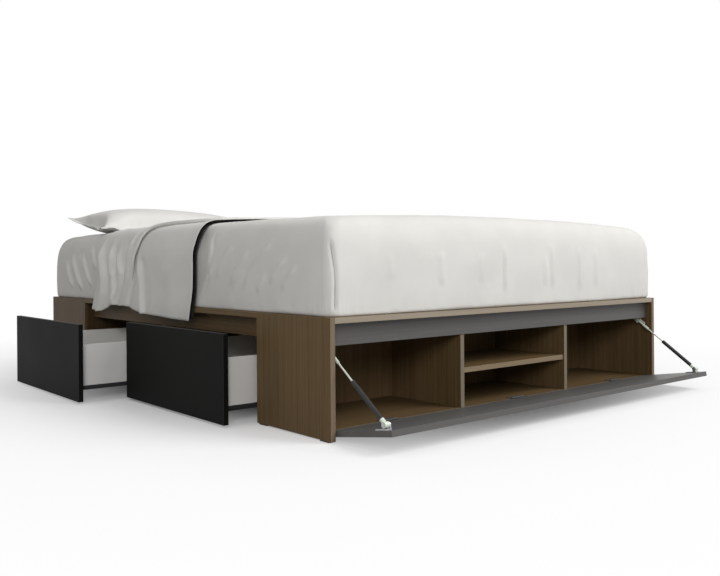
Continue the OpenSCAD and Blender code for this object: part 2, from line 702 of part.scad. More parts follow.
module mattress() color(linen) {
  side = [for (p = mattress_side) [for (q = outline(ma - p[0], mb - p[0], mattress_corner))
    [q[0], q[1], edge_z + p[1] + p[2] * (mattress_top(q[0], q[1]) - edge_z)]]];
  last = side[len(side) - 1];
  rings = [for (s = mattress_rings) [for (q = last) [q[0] * s, q[1] * s, mattress_top(q[0] * s, q[1] * s)]]];
  skin(concat(side, rings), [0, 0, deck_z], [0, 0, mattress_top(0, 0)]);
}

// Closed sheet between two grids of points, upper and under, both n_u by n_v
module slab(upper, under) {
  n_u = len(upper);
  n_v = len(upper[0]);
  n = n_u * n_v;
  function at(i, j) = i * n_v + j;
  top = [for (i = [0 : n_u - 2], j = [0 : n_v - 2]) each
    [[at(i, j), at(i + 1, j + 1), at(i + 1, j)], [at(i, j), at(i, j + 1), at(i + 1, j + 1)]]];
  rim = concat([for (i = [0 : n_u - 1]) at(i, 0)], [for (j = [1 : n_v - 1]) at(n_u - 1, j)],
               [for (i = [n_u - 2 : -1 : 0]) at(i, n_v - 1)], [for (j = [n_v - 2 : -1 : 1]) at(0, j)]);
  edge = [for (k = [0 : len(rim) - 1]) each let(a = rim[k], b = rim[(k + 1) % len(rim)])
    [[a, b, b + n], [a, b + n, a + n]]];
  polyhedron(
    points = concat([for (row = upper) each row], [for (row = under) each row]),
    faces = concat(top, [for (f = top) [f[0] + n, f[2] + n, f[1] + n]], edge),
    convexity = 8);
}

// Pillow: crowned, with drawn-in sides, a thin flange and one lifted corner
pillow_cx = -ma + pillow_side + pillow_w / 2;
pillow_cy = mb - pillow_head - pillow_d / 2;
pillow_flange = 0.93;                 // share of the pillow inside its flange
flange_t = 3;                         // thickness of the flange
function bulge(t, p) = pow(max(0, 1 - pow(min(1, abs(t) / pillow_flange), p)), 0.55);
function pillow_point(u, v, share) = let(
  x = pillow_cx + pillow_w / 2 * u * (1 - 0.05 * (1 - v * v) * u * u),
  y = pillow_cy + pillow_d / 2 * v * (1 - 0.06 * (1 - u * u) * v * v),
  lift = 24 * pow(max(abs(u), abs(v)), 5),
  ear = pillow_ear * pow((1 - u) / 2 * (1 + v) / 2, 7))
  [x, y, mattress_top(x, y) + rest_gap + lift + ear
    + share * (flange_t + pillow_h * (1 - pillow_fall * (1 + u) / 2) * bulge(u, 3.4) * bulge(v, 2.4))];

module pillow() color(linen) {
  us = [for (i = [0 : 22]) sin(90 * (i / 11 - 1))];
  vs = [for (j = [0 : 14]) sin(90 * (j / 7 - 1))];
  slab([for (u = us) [for (v = vs) pillow_point(u, v, 1)]], [for (u = us) [for (v = vs) pillow_point(u, v, 0)]]);
}

// Top sheet: a band across the mattress that hangs down both sides. Each point of its path is
// [side, drop or inset]; the part nearest the foot is folded double and lies smooth.
drops = [1, 0.82, 0.64, 0.46, 0.28, 0.12];
rounding = [[1, -46, 5, 2], [12, -20, 4, 4.5], [30, -5, 2.5, 4], [60, 0, 0, rest_gap]];
spans = [0.8, 0.55, 0.28, 0];
hang_top = edge_z - 46;               // where the hanging part starts
flare_x = max(bed_w / 2, ma + 8) + 4; // how far out the hem hangs, clear of platform and mattress
function in_fold(t) = t <= sheet_fold;
function rest_of(t) = max(0, (t - sheet_fold) / (1 - sheet_fold));
function hem_z(t) = sheet_hem + (in_fold(t) ? 7 * t / sheet_fold : 32 - 26 * rest_of(t));
function sheet_y(t, s) = foot + sheet_start + sheet_swing * s + t * (sheet_band + sheet_flare * s);
function layers(t) = in_fold(t) ? 2 : 1;
function wave(t, s) = in_fold(t) ? 3 * s * (1 + cos(400 * t)) : sheet_wave * s * (1 + sin(1700 * rest_of(t)));
// Hanging point at drop s (1 at the hem), counted outwards by off
function hang(side, t, s, off) = [
  side * (ma + 5 + (flare_x - ma - 5) * pow(min(1, s / 0.8), 1.6) + wave(t, s) + off),
  sheet_y(t, s), hem_z(t) + (hang_top - hem_z(t)) * (1 - s)];
function over_edge(side, t, r, off) = let(x = ma - r[0] + r[2], y = sheet_y(t, 0)) [
  side * (x + off * (r[3] < 4.4 ? 0.5 : 0.9)), y,
  edge_z + r[1] + r[3] + (1 - abs(r[1]) / 60) * (mattress_top(x, y) - edge_z) + off * (r[1] < -15 ? 0.35 : 1)];
function on_top(x, t, off) = let(y = sheet_y(t, 0)) [x, y, mattress_top(x, y) + rest_gap + off];
function sheet_path(t, off) = concat(
  [for (s = drops) hang(-1, t, s, off)],
  [for (r = rounding) over_edge(-1, t, r, off)],
  [for (f = spans) on_top(-f * (ma - 60), t, off)],
  [for (k = [len(spans) - 2 : -1 : 0]) on_top(spans[k] * (ma - 60), t, off)],
  [for (k = [len(rounding) - 1 : -1 : 0]) over_edge(1, t, rounding[k], off)],
  [for (k = [len(drops) - 1 : -1 : 0]) hang(1, t, drops[k], off)]);
sheet_ts = concat([for (i = [0 : 5]) sheet_fold * i / 5], [for (i = [0 : 15]) sheet_fold + 0.004 + (1 - sheet_fold - 0.004) * i / 15]);

// Grid of the sheet's points: a row for each place along the path, a column for each place across it
function sheet_grid(layer) = let(columns = [for (t = sheet_ts) sheet_path(t, layer * sheet_t * layers(t))])
  [for (k = [0 : len(columns[0]) - 1]) [for (c = columns) c[k]]];

module top_sheet() color(linen) slab(sheet_grid(1), sheet_grid(0));

foot_side_panel_left();
foot_side_panel_right();
head_side_panel_left();
head_side_panel_right();
far_side_panel();
foot_top_board();
head_top_board();
side_top_boards();
foot_rail();
side_rails();
slat_ledges();
slats();
centre_spine();
foot_floor_board();
foot_back_board();
divider_left();
divider_right();
centre_shelf();
shelf_pins();
drawer_partition();
head_partition();
head_end_panel();
floor_glides();
cam_locks();
runner_battens();
runner_tracks();
hinge_leaves_cabinet();
hinge_pins();
stay_panel_plates();
flap();
hinge_leaves_flap();
stay_flap_brackets();
stay_left_guide();
stay_left_end_fitting();
stay_left_strut();
stay_right_guide();
stay_right_end_fitting();
stay_right_strut();
drawer_1_front();
drawer_1_inner_front();
drawer_1_near_side();
drawer_1_far_side();
drawer_1_back();
drawer_1_bottom();
drawer_1_runners();
drawer_1_rear_rollers();
drawer_1_track_rollers();
drawer_2_front();
drawer_2_inner_front();
drawer_2_near_side();
drawer_2_far_side();
drawer_2_back();
drawer_2_bottom();
drawer_2_runners();
drawer_2_rear_rollers();
drawer_2_track_rollers();
mattress();
pillow();
top_sheet();
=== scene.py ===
import json
import math

import bpy
import numpy as np
from mathutils import Matrix, Vector, noise


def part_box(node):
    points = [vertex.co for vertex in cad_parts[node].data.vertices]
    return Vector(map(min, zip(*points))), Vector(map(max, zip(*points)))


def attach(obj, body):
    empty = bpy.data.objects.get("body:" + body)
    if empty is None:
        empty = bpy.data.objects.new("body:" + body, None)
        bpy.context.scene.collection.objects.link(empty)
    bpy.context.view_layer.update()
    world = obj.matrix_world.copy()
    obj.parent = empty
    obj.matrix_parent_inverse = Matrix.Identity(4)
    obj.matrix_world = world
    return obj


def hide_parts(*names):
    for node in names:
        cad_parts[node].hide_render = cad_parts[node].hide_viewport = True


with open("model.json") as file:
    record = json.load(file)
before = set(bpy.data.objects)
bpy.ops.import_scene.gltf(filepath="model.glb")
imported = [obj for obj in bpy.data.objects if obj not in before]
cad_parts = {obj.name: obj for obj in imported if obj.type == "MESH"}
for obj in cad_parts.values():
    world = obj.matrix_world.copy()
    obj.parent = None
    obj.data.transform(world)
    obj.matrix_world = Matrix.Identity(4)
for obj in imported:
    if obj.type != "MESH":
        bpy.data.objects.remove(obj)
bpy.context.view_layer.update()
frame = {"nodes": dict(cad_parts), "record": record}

# A platform storage bed with a mattress in its fitted sheet, a pillow and a folded top sheet. Lengths are in metres.
# x runs across the bed, with the drawers at its low side, y along it from the foot to the head, and z up.

nodes = frame["nodes"]


# ------------------------------------------------------------------ shader tools

class Sock:
    """One output socket in a node tree; Python operators on it add Math nodes."""

    def __init__(self, graph, out):
        self.graph, self.out = graph, out

    def math(self, op, *values):
        return self.graph.node("Math", {"operation": op}, dict(enumerate(values)))

    def __add__(self, o): return self.math("ADD", self, o)
    def __radd__(self, o): return self.math("ADD", o, self)
    def __sub__(self, o): return self.math("SUBTRACT", self, o)
    def __rsub__(self, o): return self.math("SUBTRACT", o, self)
    def __mul__(self, o): return self.math("MULTIPLY", self, o)
    def __rmul__(self, o): return self.math("MULTIPLY", o, self)

    def sine(self): return self.math("SINE", self)
    def most(self, o): return self.math("MAXIMUM", self, o)

    def step(self, low, high):
        """0 below low, 1 above high, smooth between them."""
        return self.graph.node("MapRange", {"interpolation_type": "SMOOTHSTEP"}, {0: self, 1: low, 2: high})


def link(slot, value):
    """Feed an input socket from a Sock, or set its own number, vector or colour."""
    if isinstance(value, Sock):
        slot.id_data.links.new(value.out, slot)
    elif slot.type == "RGBA":
        slot.default_value = (*value, 1.0)
    else:
        slot.default_value = value


class Graph:
    """A node tree; node() adds any node to it."""

    def __init__(self, tree):
        self.tree = tree

    def node(self, kind, settings=None, values=None, out=0):
        """Add a node: its settings come first, then its sockets' values or links. out names the output or outputs."""
        n = self.tree.nodes.new("ShaderNode" + kind)
        for key, value in (settings or {}).items():
            setattr(n, key, value)
        for key, value in (values or {}).items():
            link(n.inputs[key], value)
        if isinstance(out, tuple):
            return [Sock(self, n.outputs[key]) for key in out]
        return Sock(self, n.outputs[out]) if n.outputs else n

    def seen(self):
        """1 for a ray that looks at the surroundings straight, by gloss or through glass, and 0 for any other."""
        straight, gloss, glass = self.node("LightPath", out=("Is Camera Ray", "Is Glossy Ray", "Is Transmission Ray"))
        return straight.most(gloss).most(glass)


class Finish(Graph):
    """A material with one Principled shader; plain is its colour in a plain view."""

    def __init__(self, name, plain, **constants):
        self.mat = bpy.data.materials.new(name)
        self.mat.use_nodes = True
        self.mat.diffuse_color = (*plain, 1.0)
        super().__init__(self.mat.node_tree)
        self.shader = self.tree.nodes["Principled BSDF"]
        self.set(**constants)
        self.place, self.facing = self.node("TexCoord", out=("Object", "Normal"))

    def set(self, **inputs):
        for key, value in inputs.items():
            link(self.shader.inputs[key.replace("_", " ").title().replace("Ior", "IOR")], value)
        return self.mat

    def axes(self, vector):
        return self.node("SeparateXYZ", None, {0: vector}, out=(0, 1, 2))

    def noise(self, scale, detail=3.0, stretch=(1, 1, 1), rough=0.55, twist=0.0):
        at = self.node("VectorMath", {"operation": "MULTIPLY"}, {0: self.place, 1: stretch})
        return self.node("TexNoise", None, {"Vector": at, "Scale": scale, "Detail": detail,
                                            "Roughness": rough, "Distortion": twist})

    def blend(self, share, a, b):
        """Colour a where share is 0, colour b where it is 1."""
        return self.node("Mix", {"data_type": "RGBA"}, {0: share, 6: a, 7: b}, out=2)

    def bump(self, height, distance, strength):
        return self.node("Bump", None, {"Height": height, "Distance": distance, "Strength": strength})


# ------------------------------------------------------------------ finishes

def shaded(colour, share):
    """A colour made darker or paler."""
    return tuple(share * c for c in colour)


def board_finish(name, grain, dark, mid, light, band=None, gloss=0.52, pores=0.25, shine=0.12):
    """Woodgrain laminate with its grain along one axis (0, 1 or 2) and a banded edge towards the bed's foot."""
    f = Finish(name, mid, specular_ior_level=shine)

    def drawn(share):
        """Stretch that draws a texture out along the grain."""
        return tuple(share if k == grain else 1.0 for k in range(3))

    bands = f.noise(11.0, 2.0, drawn(0.05), 0.5, 0.5)
    streaks = f.noise(95.0, 3.0, drawn(0.014), 0.6)
    fibre = f.noise(330.0, 2.0, drawn(0.014), 0.5)
    pore = f.noise(520.0, 1.0, drawn(0.04), 0.5).step(0.60, 0.68)
    tone = bands * 0.30 + streaks * 0.40 + fibre * 0.30
    colour = f.blend(tone.step(0.40, 0.52), dark, mid)
    colour = f.blend(tone.step(0.50, 0.64), colour, light)
    colour = f.blend(pore * pores, colour, shaded(dark, 0.55))
    if band:
        edge = f.blend(tone.step(0.42, 0.60), shaded(band, 0.93), shaded(band, 1.05))
        footward = (f.axes(f.facing)[1] * -1.0).step(0.6, 0.8)
        colour = f.blend(footward, colour, edge)
    return f.set(base_color=colour, roughness=streaks * 0.10 + (gloss - 0.05),
                 normal=f.bump(fibre - pore * 0.8, 0.00010, 0.5))


def painted(name, colour, spread=0.10, scale=40.0, rough=0.5, top=None, **constants):
    """Flat paint, plastic or melamine with faint cloudiness, a fine skin and perhaps paler upward faces, a painted
    highlight.
    """
    f = Finish(name, colour, **constants)
    cloud = f.noise(scale * 0.15, 3.0)
    skin = f.noise(scale * 12.0, 2.0)
    tint = f.blend(cloud.step(0.35, 0.65), shaded(colour, 1 - spread), shaded(colour, 1 + spread))
    # top paints the upward faces paler: a painted highlight
    if top:
        tint = f.blend(f.axes(f.facing)[2].step(0.6, 0.9), tint, top)
    return f.set(base_color=tint, roughness=cloud * 0.14 + (rough - 0.07), normal=f.bump(skin, 0.00008, 0.5))


def zinc():
    """Zinc-plated steel with faint spangle and drawn scratches."""
    f = Finish("zinc_steel", (0.55, 0.56, 0.57), metallic=1.0)
    spangle = f.node("TexVoronoi", None, {"Vector": f.place, "Scale": 220.0}, out=1)
    scratch = f.noise(300.0, 2.0, (1, 0.06, 1))
    return f.set(base_color=f.blend(0.10, (0.46, 0.47, 0.48), spangle), roughness=scratch * 0.2 + 0.30)


STAY_FOOT = (-1.2199, 0.0724)                   # pivot on the flap, as (along the bed, height)
STAY_AHEAD = (0.8108, 0.5853)                   # direction from it to the pivot on the side panel
TUBE_END = 0.1562                               # from the pivot to the tube's mouth
MOUTH = 0.0003                                  # half the width of the change from tube to rod


def stay_finish():
    """Black tube of a flap stay; past the tube's mouth its rod and ferrule are pale."""
    f = Finish("stay_tube_and_rod", (0.02, 0.02, 0.02), specular_ior_level=0.35)
    _, y, z = f.axes(f.place)
    run = (y - STAY_FOOT[0]) * STAY_AHEAD[0] + (z - STAY_FOOT[1]) * STAY_AHEAD[1]
    skin = f.noise(420.0, 2.0, (1, 0.2, 0.2))
    tube_tone = f.blend(skin, (0.012, 0.0115, 0.011), (0.021, 0.020, 0.019))
    rod_tone = f.blend(skin, (0.60, 0.64, 0.55), (0.70, 0.73, 0.64))
    return f.set(base_color=f.blend(run.step(TUBE_END - MOUTH, TUBE_END + MOUTH), tube_tone, rod_tone),
                 roughness=skin * 0.1 + 0.34, normal=f.bump(skin, 0.00004, 0.4))


THREAD = 0.0006                                 # from one thread of the cotton to the next


def cotton(name, colour, rumple=0.0, sheen=0.12):
    """Cotton cloth: threads both ways, slubs, and faint rumples."""
    f = Finish(name, colour, sheen_weight=sheen, sheen_roughness=0.45, specular_ior_level=0.2)
    x, y, z = f.axes(f.place)
    turn = math.tau / THREAD
    weave = ((x + z * 0.97) * turn).sine() * ((y + z * 0.31) * turn).sine()
    slub = f.noise(900.0, 2.0, (1, 0.12, 1)) + f.noise(900.0, 2.0, (0.12, 1, 0.2))
    soft = f.noise(7.0, 4.0, rough=0.5)
    crumple = f.noise(38.0, 3.0, rough=0.45)
    tint = f.blend(soft.step(0.3, 0.7), shaded(colour, 0.965), shaded(colour, 1.02))
    tint = f.blend(slub.step(0.9, 1.35) * 0.18, tint, shaded(colour, 0.93))
    height = weave * 0.10 + slub * 0.25 + crumple * rumple
    return f.set(base_color=tint, roughness=soft * 0.08 + 0.80, normal=f.bump(height, 0.0010, 0.35))


# Dark, middle and light tones of the laminates' grain
WALNUT = ((0.108, 0.068, 0.030), (0.139, 0.089, 0.041), (0.166, 0.110, 0.054))
CHARCOAL = ((0.087, 0.084, 0.081), (0.098, 0.095, 0.092), (0.108, 0.105, 0.101))
PINE = ((0.42, 0.29, 0.16), (0.56, 0.41, 0.25), (0.66, 0.51, 0.33))
EDGE_PAINTED_HIGHLIGHT = 1.25                                # how much paler a board's eased corners are painted than its face, a painted highlight

charcoal = board_finish("charcoal_laminate", 0, *CHARCOAL, gloss=0.45, pores=0.12, shine=0.30)
# The charcoal's eased corners take its tones painted paler: a painted highlight
charcoal_edge = board_finish("charcoal_edge", 0, *(shaded(tone, EDGE_PAINTED_HIGHLIGHT) for tone in CHARCOAL), gloss=0.5, pores=0.1)
pine = board_finish("pine_slats", 0, *PINE, gloss=0.55, pores=0.1, shine=0.25)
# Black fronts: their upward faces and the paler finish of their eased corners are painted highlights
front_black = painted("black_front", (0.0045, 0.0044, 0.0038), 0.16, 30, 0.62, (0.040, 0.039, 0.036),
                      specular_ior_level=0.07)
front_edge_highlight = painted("black_front_edge_highlight", (0.016, 0.0155, 0.014), 0.14, 60, 0.55, (0.060, 0.058, 0.054),
                     specular_ior_level=0.15)
box_grey = painted("drawer_box_grey", (0.74, 0.73, 0.705), 0.03, 30, 0.6, specular_ior_level=0.3)
box_edge = painted("drawer_box_edge", (0.72, 0.715, 0.70), 0.03, 30, 0.5)
dark_plastic = painted("dark_plastic", (0.030, 0.030, 0.031), 0.1, 60, 0.5, specular_ior_level=0.3)
pale_plastic = painted("pale_plastic", (0.70, 0.76, 0.67), 0.05, 80, 0.38)
dark_steel = painted("dark_steel", (0.030, 0.030, 0.032), 0.12, 80, 0.42, specular_ior_level=0.35)
hinge_steel = painted("hinge_steel", (0.060, 0.060, 0.061), 0.12, 90, 0.45, specular_ior_level=0.4)
zinc_steel = zinc()
stay_black = stay_finish()
fitted = cotton("fitted_sheet_cotton", (0.728, 0.720, 0.686), rumple=0.8)
cover = cotton("top_sheet_cotton", (0.752, 0.744, 0.710), rumple=1.0)
# Black cloth that stands in for the shadow beside the top sheet's edge: a painted shadow
shadow_cloth = cotton("painted_shadow_black", (0.012, 0.0115, 0.011), sheen=0.0)
case = cotton("pillowcase_cotton", (0.790, 0.782, 0.750), rumple=1.2)
# Seam thread painted mid grey so the corner seam reads as a dark line: a painted shade
seam_shade_grey = painted("seam_thread_painted_shade", (0.42, 0.415, 0.40), 0.05, 200, 0.8)


# ------------------------------------------------------------------ dressing the boards

# Finishes of the faces and of the corners, by material slot, and for the nodes that depart from their slot
SLOT_FINISH = {"charcoal_laminate": (charcoal, charcoal_edge), "black_front": (front_black, front_edge_highlight),
               "drawer_box_grey": (box_grey, box_edge), "pine": (pine, pine), "zinc_steel": (zinc_steel, zinc_steel),
               "dark_steel": (dark_steel, dark_steel), "strut_black": (stay_black, stay_black),
               "pale_plastic": (pale_plastic, pale_plastic), "dark_plastic": (dark_plastic, dark_plastic)}
NODE_FINISH = {name: (hinge_steel, hinge_steel) for name in ("hinge_leaves_cabinet", "hinge_leaves_flap", "hinge_pins")}
# Walnut boards: the axis of the grain where it isn't upright, the colour of the banded edge, and a share that darkens
# the boards lying in shadow, a painted shade
GRAIN = {"foot_top_board": 0, "head_top_board": 0, "side_top_boards": 1, "side_rails": 1,
         "foot_floor_board": 0, "centre_shelf": 0, "head_end_panel": 0}
BANDS = {"foot_top_board": (0.335, 0.283, 0.218), "centre_shelf": (0.255, 0.195, 0.126),
         "divider_left": (0.215, 0.175, 0.125), "divider_right": (0.215, 0.175, 0.125),
         "foot_side_panel_left": (0.205, 0.152, 0.102), "foot_side_panel_right": (0.205, 0.152, 0.102),
         "foot_floor_board": (0.190, 0.150, 0.104)}
# Share of each board's tone that is kept where the board lies in shadow: a painted shade
SHADE_PAINTED_ON = {"head_side_panel_left": 0.66, "head_side_panel_right": 0.66, "head_partition": 0.48,
          "foot_floor_board": 0.80, "side_rails": 0.85}
BOARDS = ("walnut_laminate", "charcoal_laminate", "black_front", "drawer_box_grey", "pine")
SOFT_NODES = ("mattress", "pillow", "top_sheet")
ARRIS, ARRIS_FROM = 0.0007, math.radians(50)    # width of a board's eased corner, and the least angle that has one
WELD = 0.00002                                  # points nearer than this are one
slot_of = {s["node"]: s["material_slot"] for s in frame["record"]["subparts"]}
walnut_made = {}


def walnut(grain, band, depth):
    """Face and corner finishes of the walnut laminate, made once for each grain, edge band and painted shade; the
    corners are painted paler, a painted highlight.
    """
    key = (grain, band, depth)
    if key not in walnut_made:
        name = f"walnut_grain_{'xyz'[grain]}_{len(walnut_made)}"
        # depth darkens the tones of boards that lie in shadow: a painted shade
        face = [shaded(tone, depth) for tone in WALNUT]
        highlit_edge = [shaded(shaded(tone, EDGE_PAINTED_HIGHLIGHT), depth) for tone in WALNUT]
        walnut_made[key] = (board_finish(name, grain, *face, band=band),
                            board_finish(name + "_worn", grain, *highlit_edge, band=band and shaded(band, 1.1)))
    return walnut_made[key]


def finishes_for(name):
    """Finishes of a node's faces and of its corners."""
    if slot_of[name] == "walnut_laminate":
        return walnut(GRAIN.get(name, 2), BANDS.get(name), SHADE_PAINTED_ON.get(name, 1.0))
    return NODE_FINISH.get(name) or SLOT_FINISH[slot_of[name]]


def dress(name):
    """Give a node its finish and, on a board, eased corners that catch the light and are painted paler, a painted
    highlight.
    """
    o = nodes[name]
    o.data.materials.clear()
    for finish in finishes_for(name):
        o.data.materials.append(finish)
    if slot_of[name] in BOARDS:
        join = o.modifiers.new("join", "WELD")
        join.merge_threshold = WELD
        ease = o.modifiers.new("arris", "BEVEL")
        ease.width, ease.segments, ease.limit_method = ARRIS, 2, "ANGLE"
        # the eased corners take the paler second finish, a painted highlight
        ease.angle_limit, ease.material, ease.use_clamp_overlap = ARRIS_FROM, 1, True
        ease.harden_normals = False


for name in nodes:
    if name not in SOFT_NODES:
        dress(name)


# ------------------------------------------------------------------ cloth tools

def smooth(v):
    """0 to 1 with eased ends."""
    v = np.clip(v, 0.0, 1.0)
    return v * v * (3 - 2 * v)


def ridge(a, b, line, width, height, taper=0.3):
    """Height of a fold that follows a line in the plane (a, b), fading out at both ends."""
    line = np.asarray(line, float)
    lengths = np.hypot(*np.diff(line, axis=0).T)
    start = np.concatenate([[0.0], np.cumsum(lengths)])
    nearest, run = np.full(a.shape, np.inf), np.zeros(a.shape)
    for k, length in enumerate(lengths):
        d = (line[k + 1] - line[k]) / length
        t = np.clip((a - line[k, 0]) * d[0] + (b - line[k, 1]) * d[1], 0, length)
        gap = (a - line[k, 0] - t * d[0]) ** 2 + (b - line[k, 1] - t * d[1]) ** 2
        closer = gap < nearest
        nearest = np.where(closer, gap, nearest)
        run = np.where(closer, start[k] + t, run)
    f = run / start[-1]
    return height * np.exp(-nearest / width ** 2) * (smooth(f / taper) * smooth((1 - f) / taper))


def ripple(points, scale, seed=0.0):
    """Smooth noise from -1 to 1 at each point of an array (..., 3)."""
    flat = points.reshape(-1, 3) * scale + seed
    return np.array([noise.noise(Vector(p)) for p in flat]).reshape(points.shape[:-1])


def add_piece(name, verts, faces, finish):
    """A smooth mesh that rides on the carcass."""
    me = bpy.data.meshes.new(name)
    me.from_pydata([tuple(v) for v in verts.reshape(-1, 3)], [], faces)
    me.update()
    me.polygons.foreach_set("use_smooth", [True] * len(me.polygons))
    me.materials.append(finish)
    o = bpy.data.objects.new(name, me)
    bpy.context.scene.collection.objects.link(o)
    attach(o, "carcass")
    return o


def thicken(o, thickness):
    """Make a cloth of a surface, half of it to each side."""
    cloth = o.modifiers.new("cloth", "SOLIDIFY")
    cloth.thickness, cloth.offset = thickness, 0.0


def grid_faces(nu, nv, closed=False):
    """Faces of a grid of points; its first axis may be a closed loop."""
    rows = nu if closed else nu - 1
    return [(i * nv + j, ((i + 1) % nu) * nv + j, ((i + 1) % nu) * nv + j + 1, i * nv + j + 1)
            for i in range(rows) for j in range(nv - 1)]


# ------------------------------------------------------------------ mattress in its fitted sheet

mattress_low, mattress_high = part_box("mattress")
BULGE = 0.002                                   # how far the CAD mattress swells past its named size
MATTRESS_H, CORNER = 0.265, 0.035               # height of the side, radius of the corners seen from above
CROWN, RISE = 0.020, 0.010                      # how far the top swells across the bed and along it
AROUND, UP_SIDE = 1200, 58                      # points of the mesh round the mattress and up its side
TOP_FROM, TOP_STEP = 0.092, 0.0165              # inset of the first ring of the top, and from ring to ring
MIDDLE, LEAST_EDGE = 0.004, 0.001               # half the strip left in the middle, least straight edge of a ring
half_w, half_l = mattress_high.x - BULGE, mattress_high.y - BULGE
deck_z = mattress_low.z
edge_z = deck_z + MATTRESS_H

# Side of the mattress from its foot up: inset, height over the top edge, share of the crown
SIDE = np.array([[6, -265, 0], [3, -263, 0], [0.5, -256, 0], [-1, -232, 0], [-2, -185, 0], [-2, -130, 0.05],
                 [0, -88, 0.2], [4, -60, 0.38], [11, -38, 0.55], [21, -21, 0.70], [36, -9, 0.86], [56, -2, 0.96],
                 [78, 0, 1]]) / (1000, 1000, 1)


def mattress_top(x, y):
    """Height of the mattress's top, crowned both ways."""
    return (edge_z + CROWN * (1 - np.minimum(1, np.abs(x) / half_w) ** 2.6)
            + RISE * (1 - np.minimum(1, np.abs(y) / half_l) ** 4))


def spline(points, count):
    """Even samples of a smooth curve through points."""
    pts = np.vstack([2 * points[0] - points[1], points, 2 * points[-1] - points[-2]])
    t = np.linspace(0, len(points) - 1, 60 * len(points))
    i = np.minimum(t.astype(int), len(points) - 2)
    f = (t - i)[:, None]
    a, b, c, d = (pts[i + j] for j in range(4))
    fine = 0.5 * (2 * b + (c - a) * f + (2 * a - 5 * b + 4 * c - d) * f ** 2 + (3 * b - a - 3 * c + d) * f ** 3)
    run = np.concatenate([[0], np.cumsum(np.linalg.norm(np.diff(fine[:, :2], axis=0), axis=1))])
    at = np.linspace(0, run[-1], count)
    return np.stack([np.interp(at, run, fine[:, j]) for j in range(points.shape[1])], 1)


def outline(a, b, r, count):
    """Points round a rounded rectangle, from the middle of its right side, closer together at the corners."""
    arc = math.pi / 2 * r
    run = [b - r, arc, 2 * (a - r), arc, 2 * (b - r), arc, 2 * (a - r), arc, b - r]
    edge = np.concatenate([[0], np.cumsum(run)])
    fine = np.linspace(0, edge[-1], 6000)
    close = 1.0 + 4.0 * sum(np.exp(-((fine - (edge[2 * k + 1] + arc / 2)) / 0.07) ** 2) for k in range(4))
    share = np.concatenate([[0], np.cumsum((close[1:] + close[:-1]) / 2)])
    s = np.interp(np.linspace(0, 1, count, endpoint=False), share / share[-1], fine)
    out = np.zeros((count, 2))
    straights = [((a, 0), (0, 1)), ((a - r, b), (-1, 0)), ((-a, b - r), (0, -1)), ((r - a, -b), (1, 0)),
                 ((a, r - b), (0, 1))]
    for k, (start, way) in enumerate(straights):
        m = (s >= edge[2 * k]) & (s < edge[2 * k + 1])
        out[m] = np.array(start) + (s[m] - edge[2 * k])[:, None] * way
    for k, (cx, cy) in enumerate([(a - r, b - r), (r - a, b - r), (r - a, r - b), (a - r, r - b)]):
        m = (s >= edge[2 * k + 1]) & (s < edge[2 * k + 2])
        turn = math.pi / 2 * k + (s[m] - edge[2 * k + 1]) / r
        out[m] = np.stack([cx + r * np.cos(turn), cy + r * np.sin(turn)], 1)
    return out


# Creases that show, with their width and height: on the drawer side as (y, z), and on the foot face as (x, z)
SIDE_CREASES = [
    ([(-0.769, 0.541), (-0.732, 0.512), (-0.675, 0.468), (-0.642, 0.435), (-0.595, 0.382)], 0.0079, 0.0089),
    ([(-0.643, 0.517), (-0.584, 0.462), (-0.523, 0.399)], 0.0101, 0.0072),
    ([(-0.549, 0.532), (-0.499, 0.488), (-0.435, 0.418)], 0.0101, 0.0068),
    ([(-0.840, 0.491), (-0.794, 0.453), (-0.745, 0.406)], 0.0086, 0.0072),
    ([(-0.888, 0.465), (-0.849, 0.431), (-0.808, 0.393)], 0.0094, 0.0055),
    ([(-0.731, 0.438), (-0.708, 0.415), (-0.674, 0.384)], 0.0086, 0.0046),
    ([(-0.409, 0.581), (-0.412, 0.522), (-0.403, 0.466), (-0.369, 0.430), (-0.335, 0.382)], 0.0101, -0.0106),
    ([(0.894, 0.490), (0.866, 0.464), (0.834, 0.417), (0.790, 0.362)], 0.0101, 0.0116),
    ([(0.825, 0.524), (0.799, 0.498), (0.743, 0.427), (0.676, 0.352)], 0.0101, 0.0137),
    ([(0.741, 0.549), (0.692, 0.483), (0.633, 0.409), (0.608, 0.372)], 0.0072, -0.0085),
    ([(0.717, 0.529), (0.698, 0.510), (0.650, 0.450), (0.586, 0.373)], 0.0094, 0.0128),
    ([(0.618, 0.549), (0.595, 0.527), (0.566, 0.482), (0.543, 0.445)], 0.0094, 0.0095),
    ([(-0.322, 0.640), (-0.327, 0.550), (-0.327, 0.450), (-0.318, 0.325)], 0.0460, -0.0180),
    ([(-0.402, 0.590), (-0.400, 0.530), (-0.410, 0.470), (-0.400, 0.410)], 0.0077, 0.0056),
]
FOOT_CREASES = [
    ([(-0.369, 0.510), (-0.370, 0.396)], 0.0097, 0.0053), ([(-0.194, 0.505), (-0.195, 0.401)], 0.0075, 0.0035),
    ([(-0.082, 0.534), (-0.084, 0.369)], 0.0067, 0.0088), ([(0.122, 0.500), (0.121, 0.381)], 0.0067, 0.0048),
    ([(0.163, 0.539), (0.161, 0.373)], 0.0075, 0.0075), ([(0.318, 0.534), (0.315, 0.357)], 0.0083, 0.0066),
    ([(0.417, 0.529), (0.413, 0.373)], 0.0083, 0.0066), ([(-0.574, 0.500), (-0.570, 0.420)], 0.0120, 0.0026),
]
# Gathers of the elastic hem: how many go round the mattress, their share of the height, and where they start
GATHERS = ((151, 1.0, 0.3), (97, 0.8, 1.9), (211, 0.6, 4.0), (61, 0.7, 2.2), (37, 0.5, 5.1))
GATHER, GATHER_TOP = 0.0006, 0.405              # their height, and how far up they reach
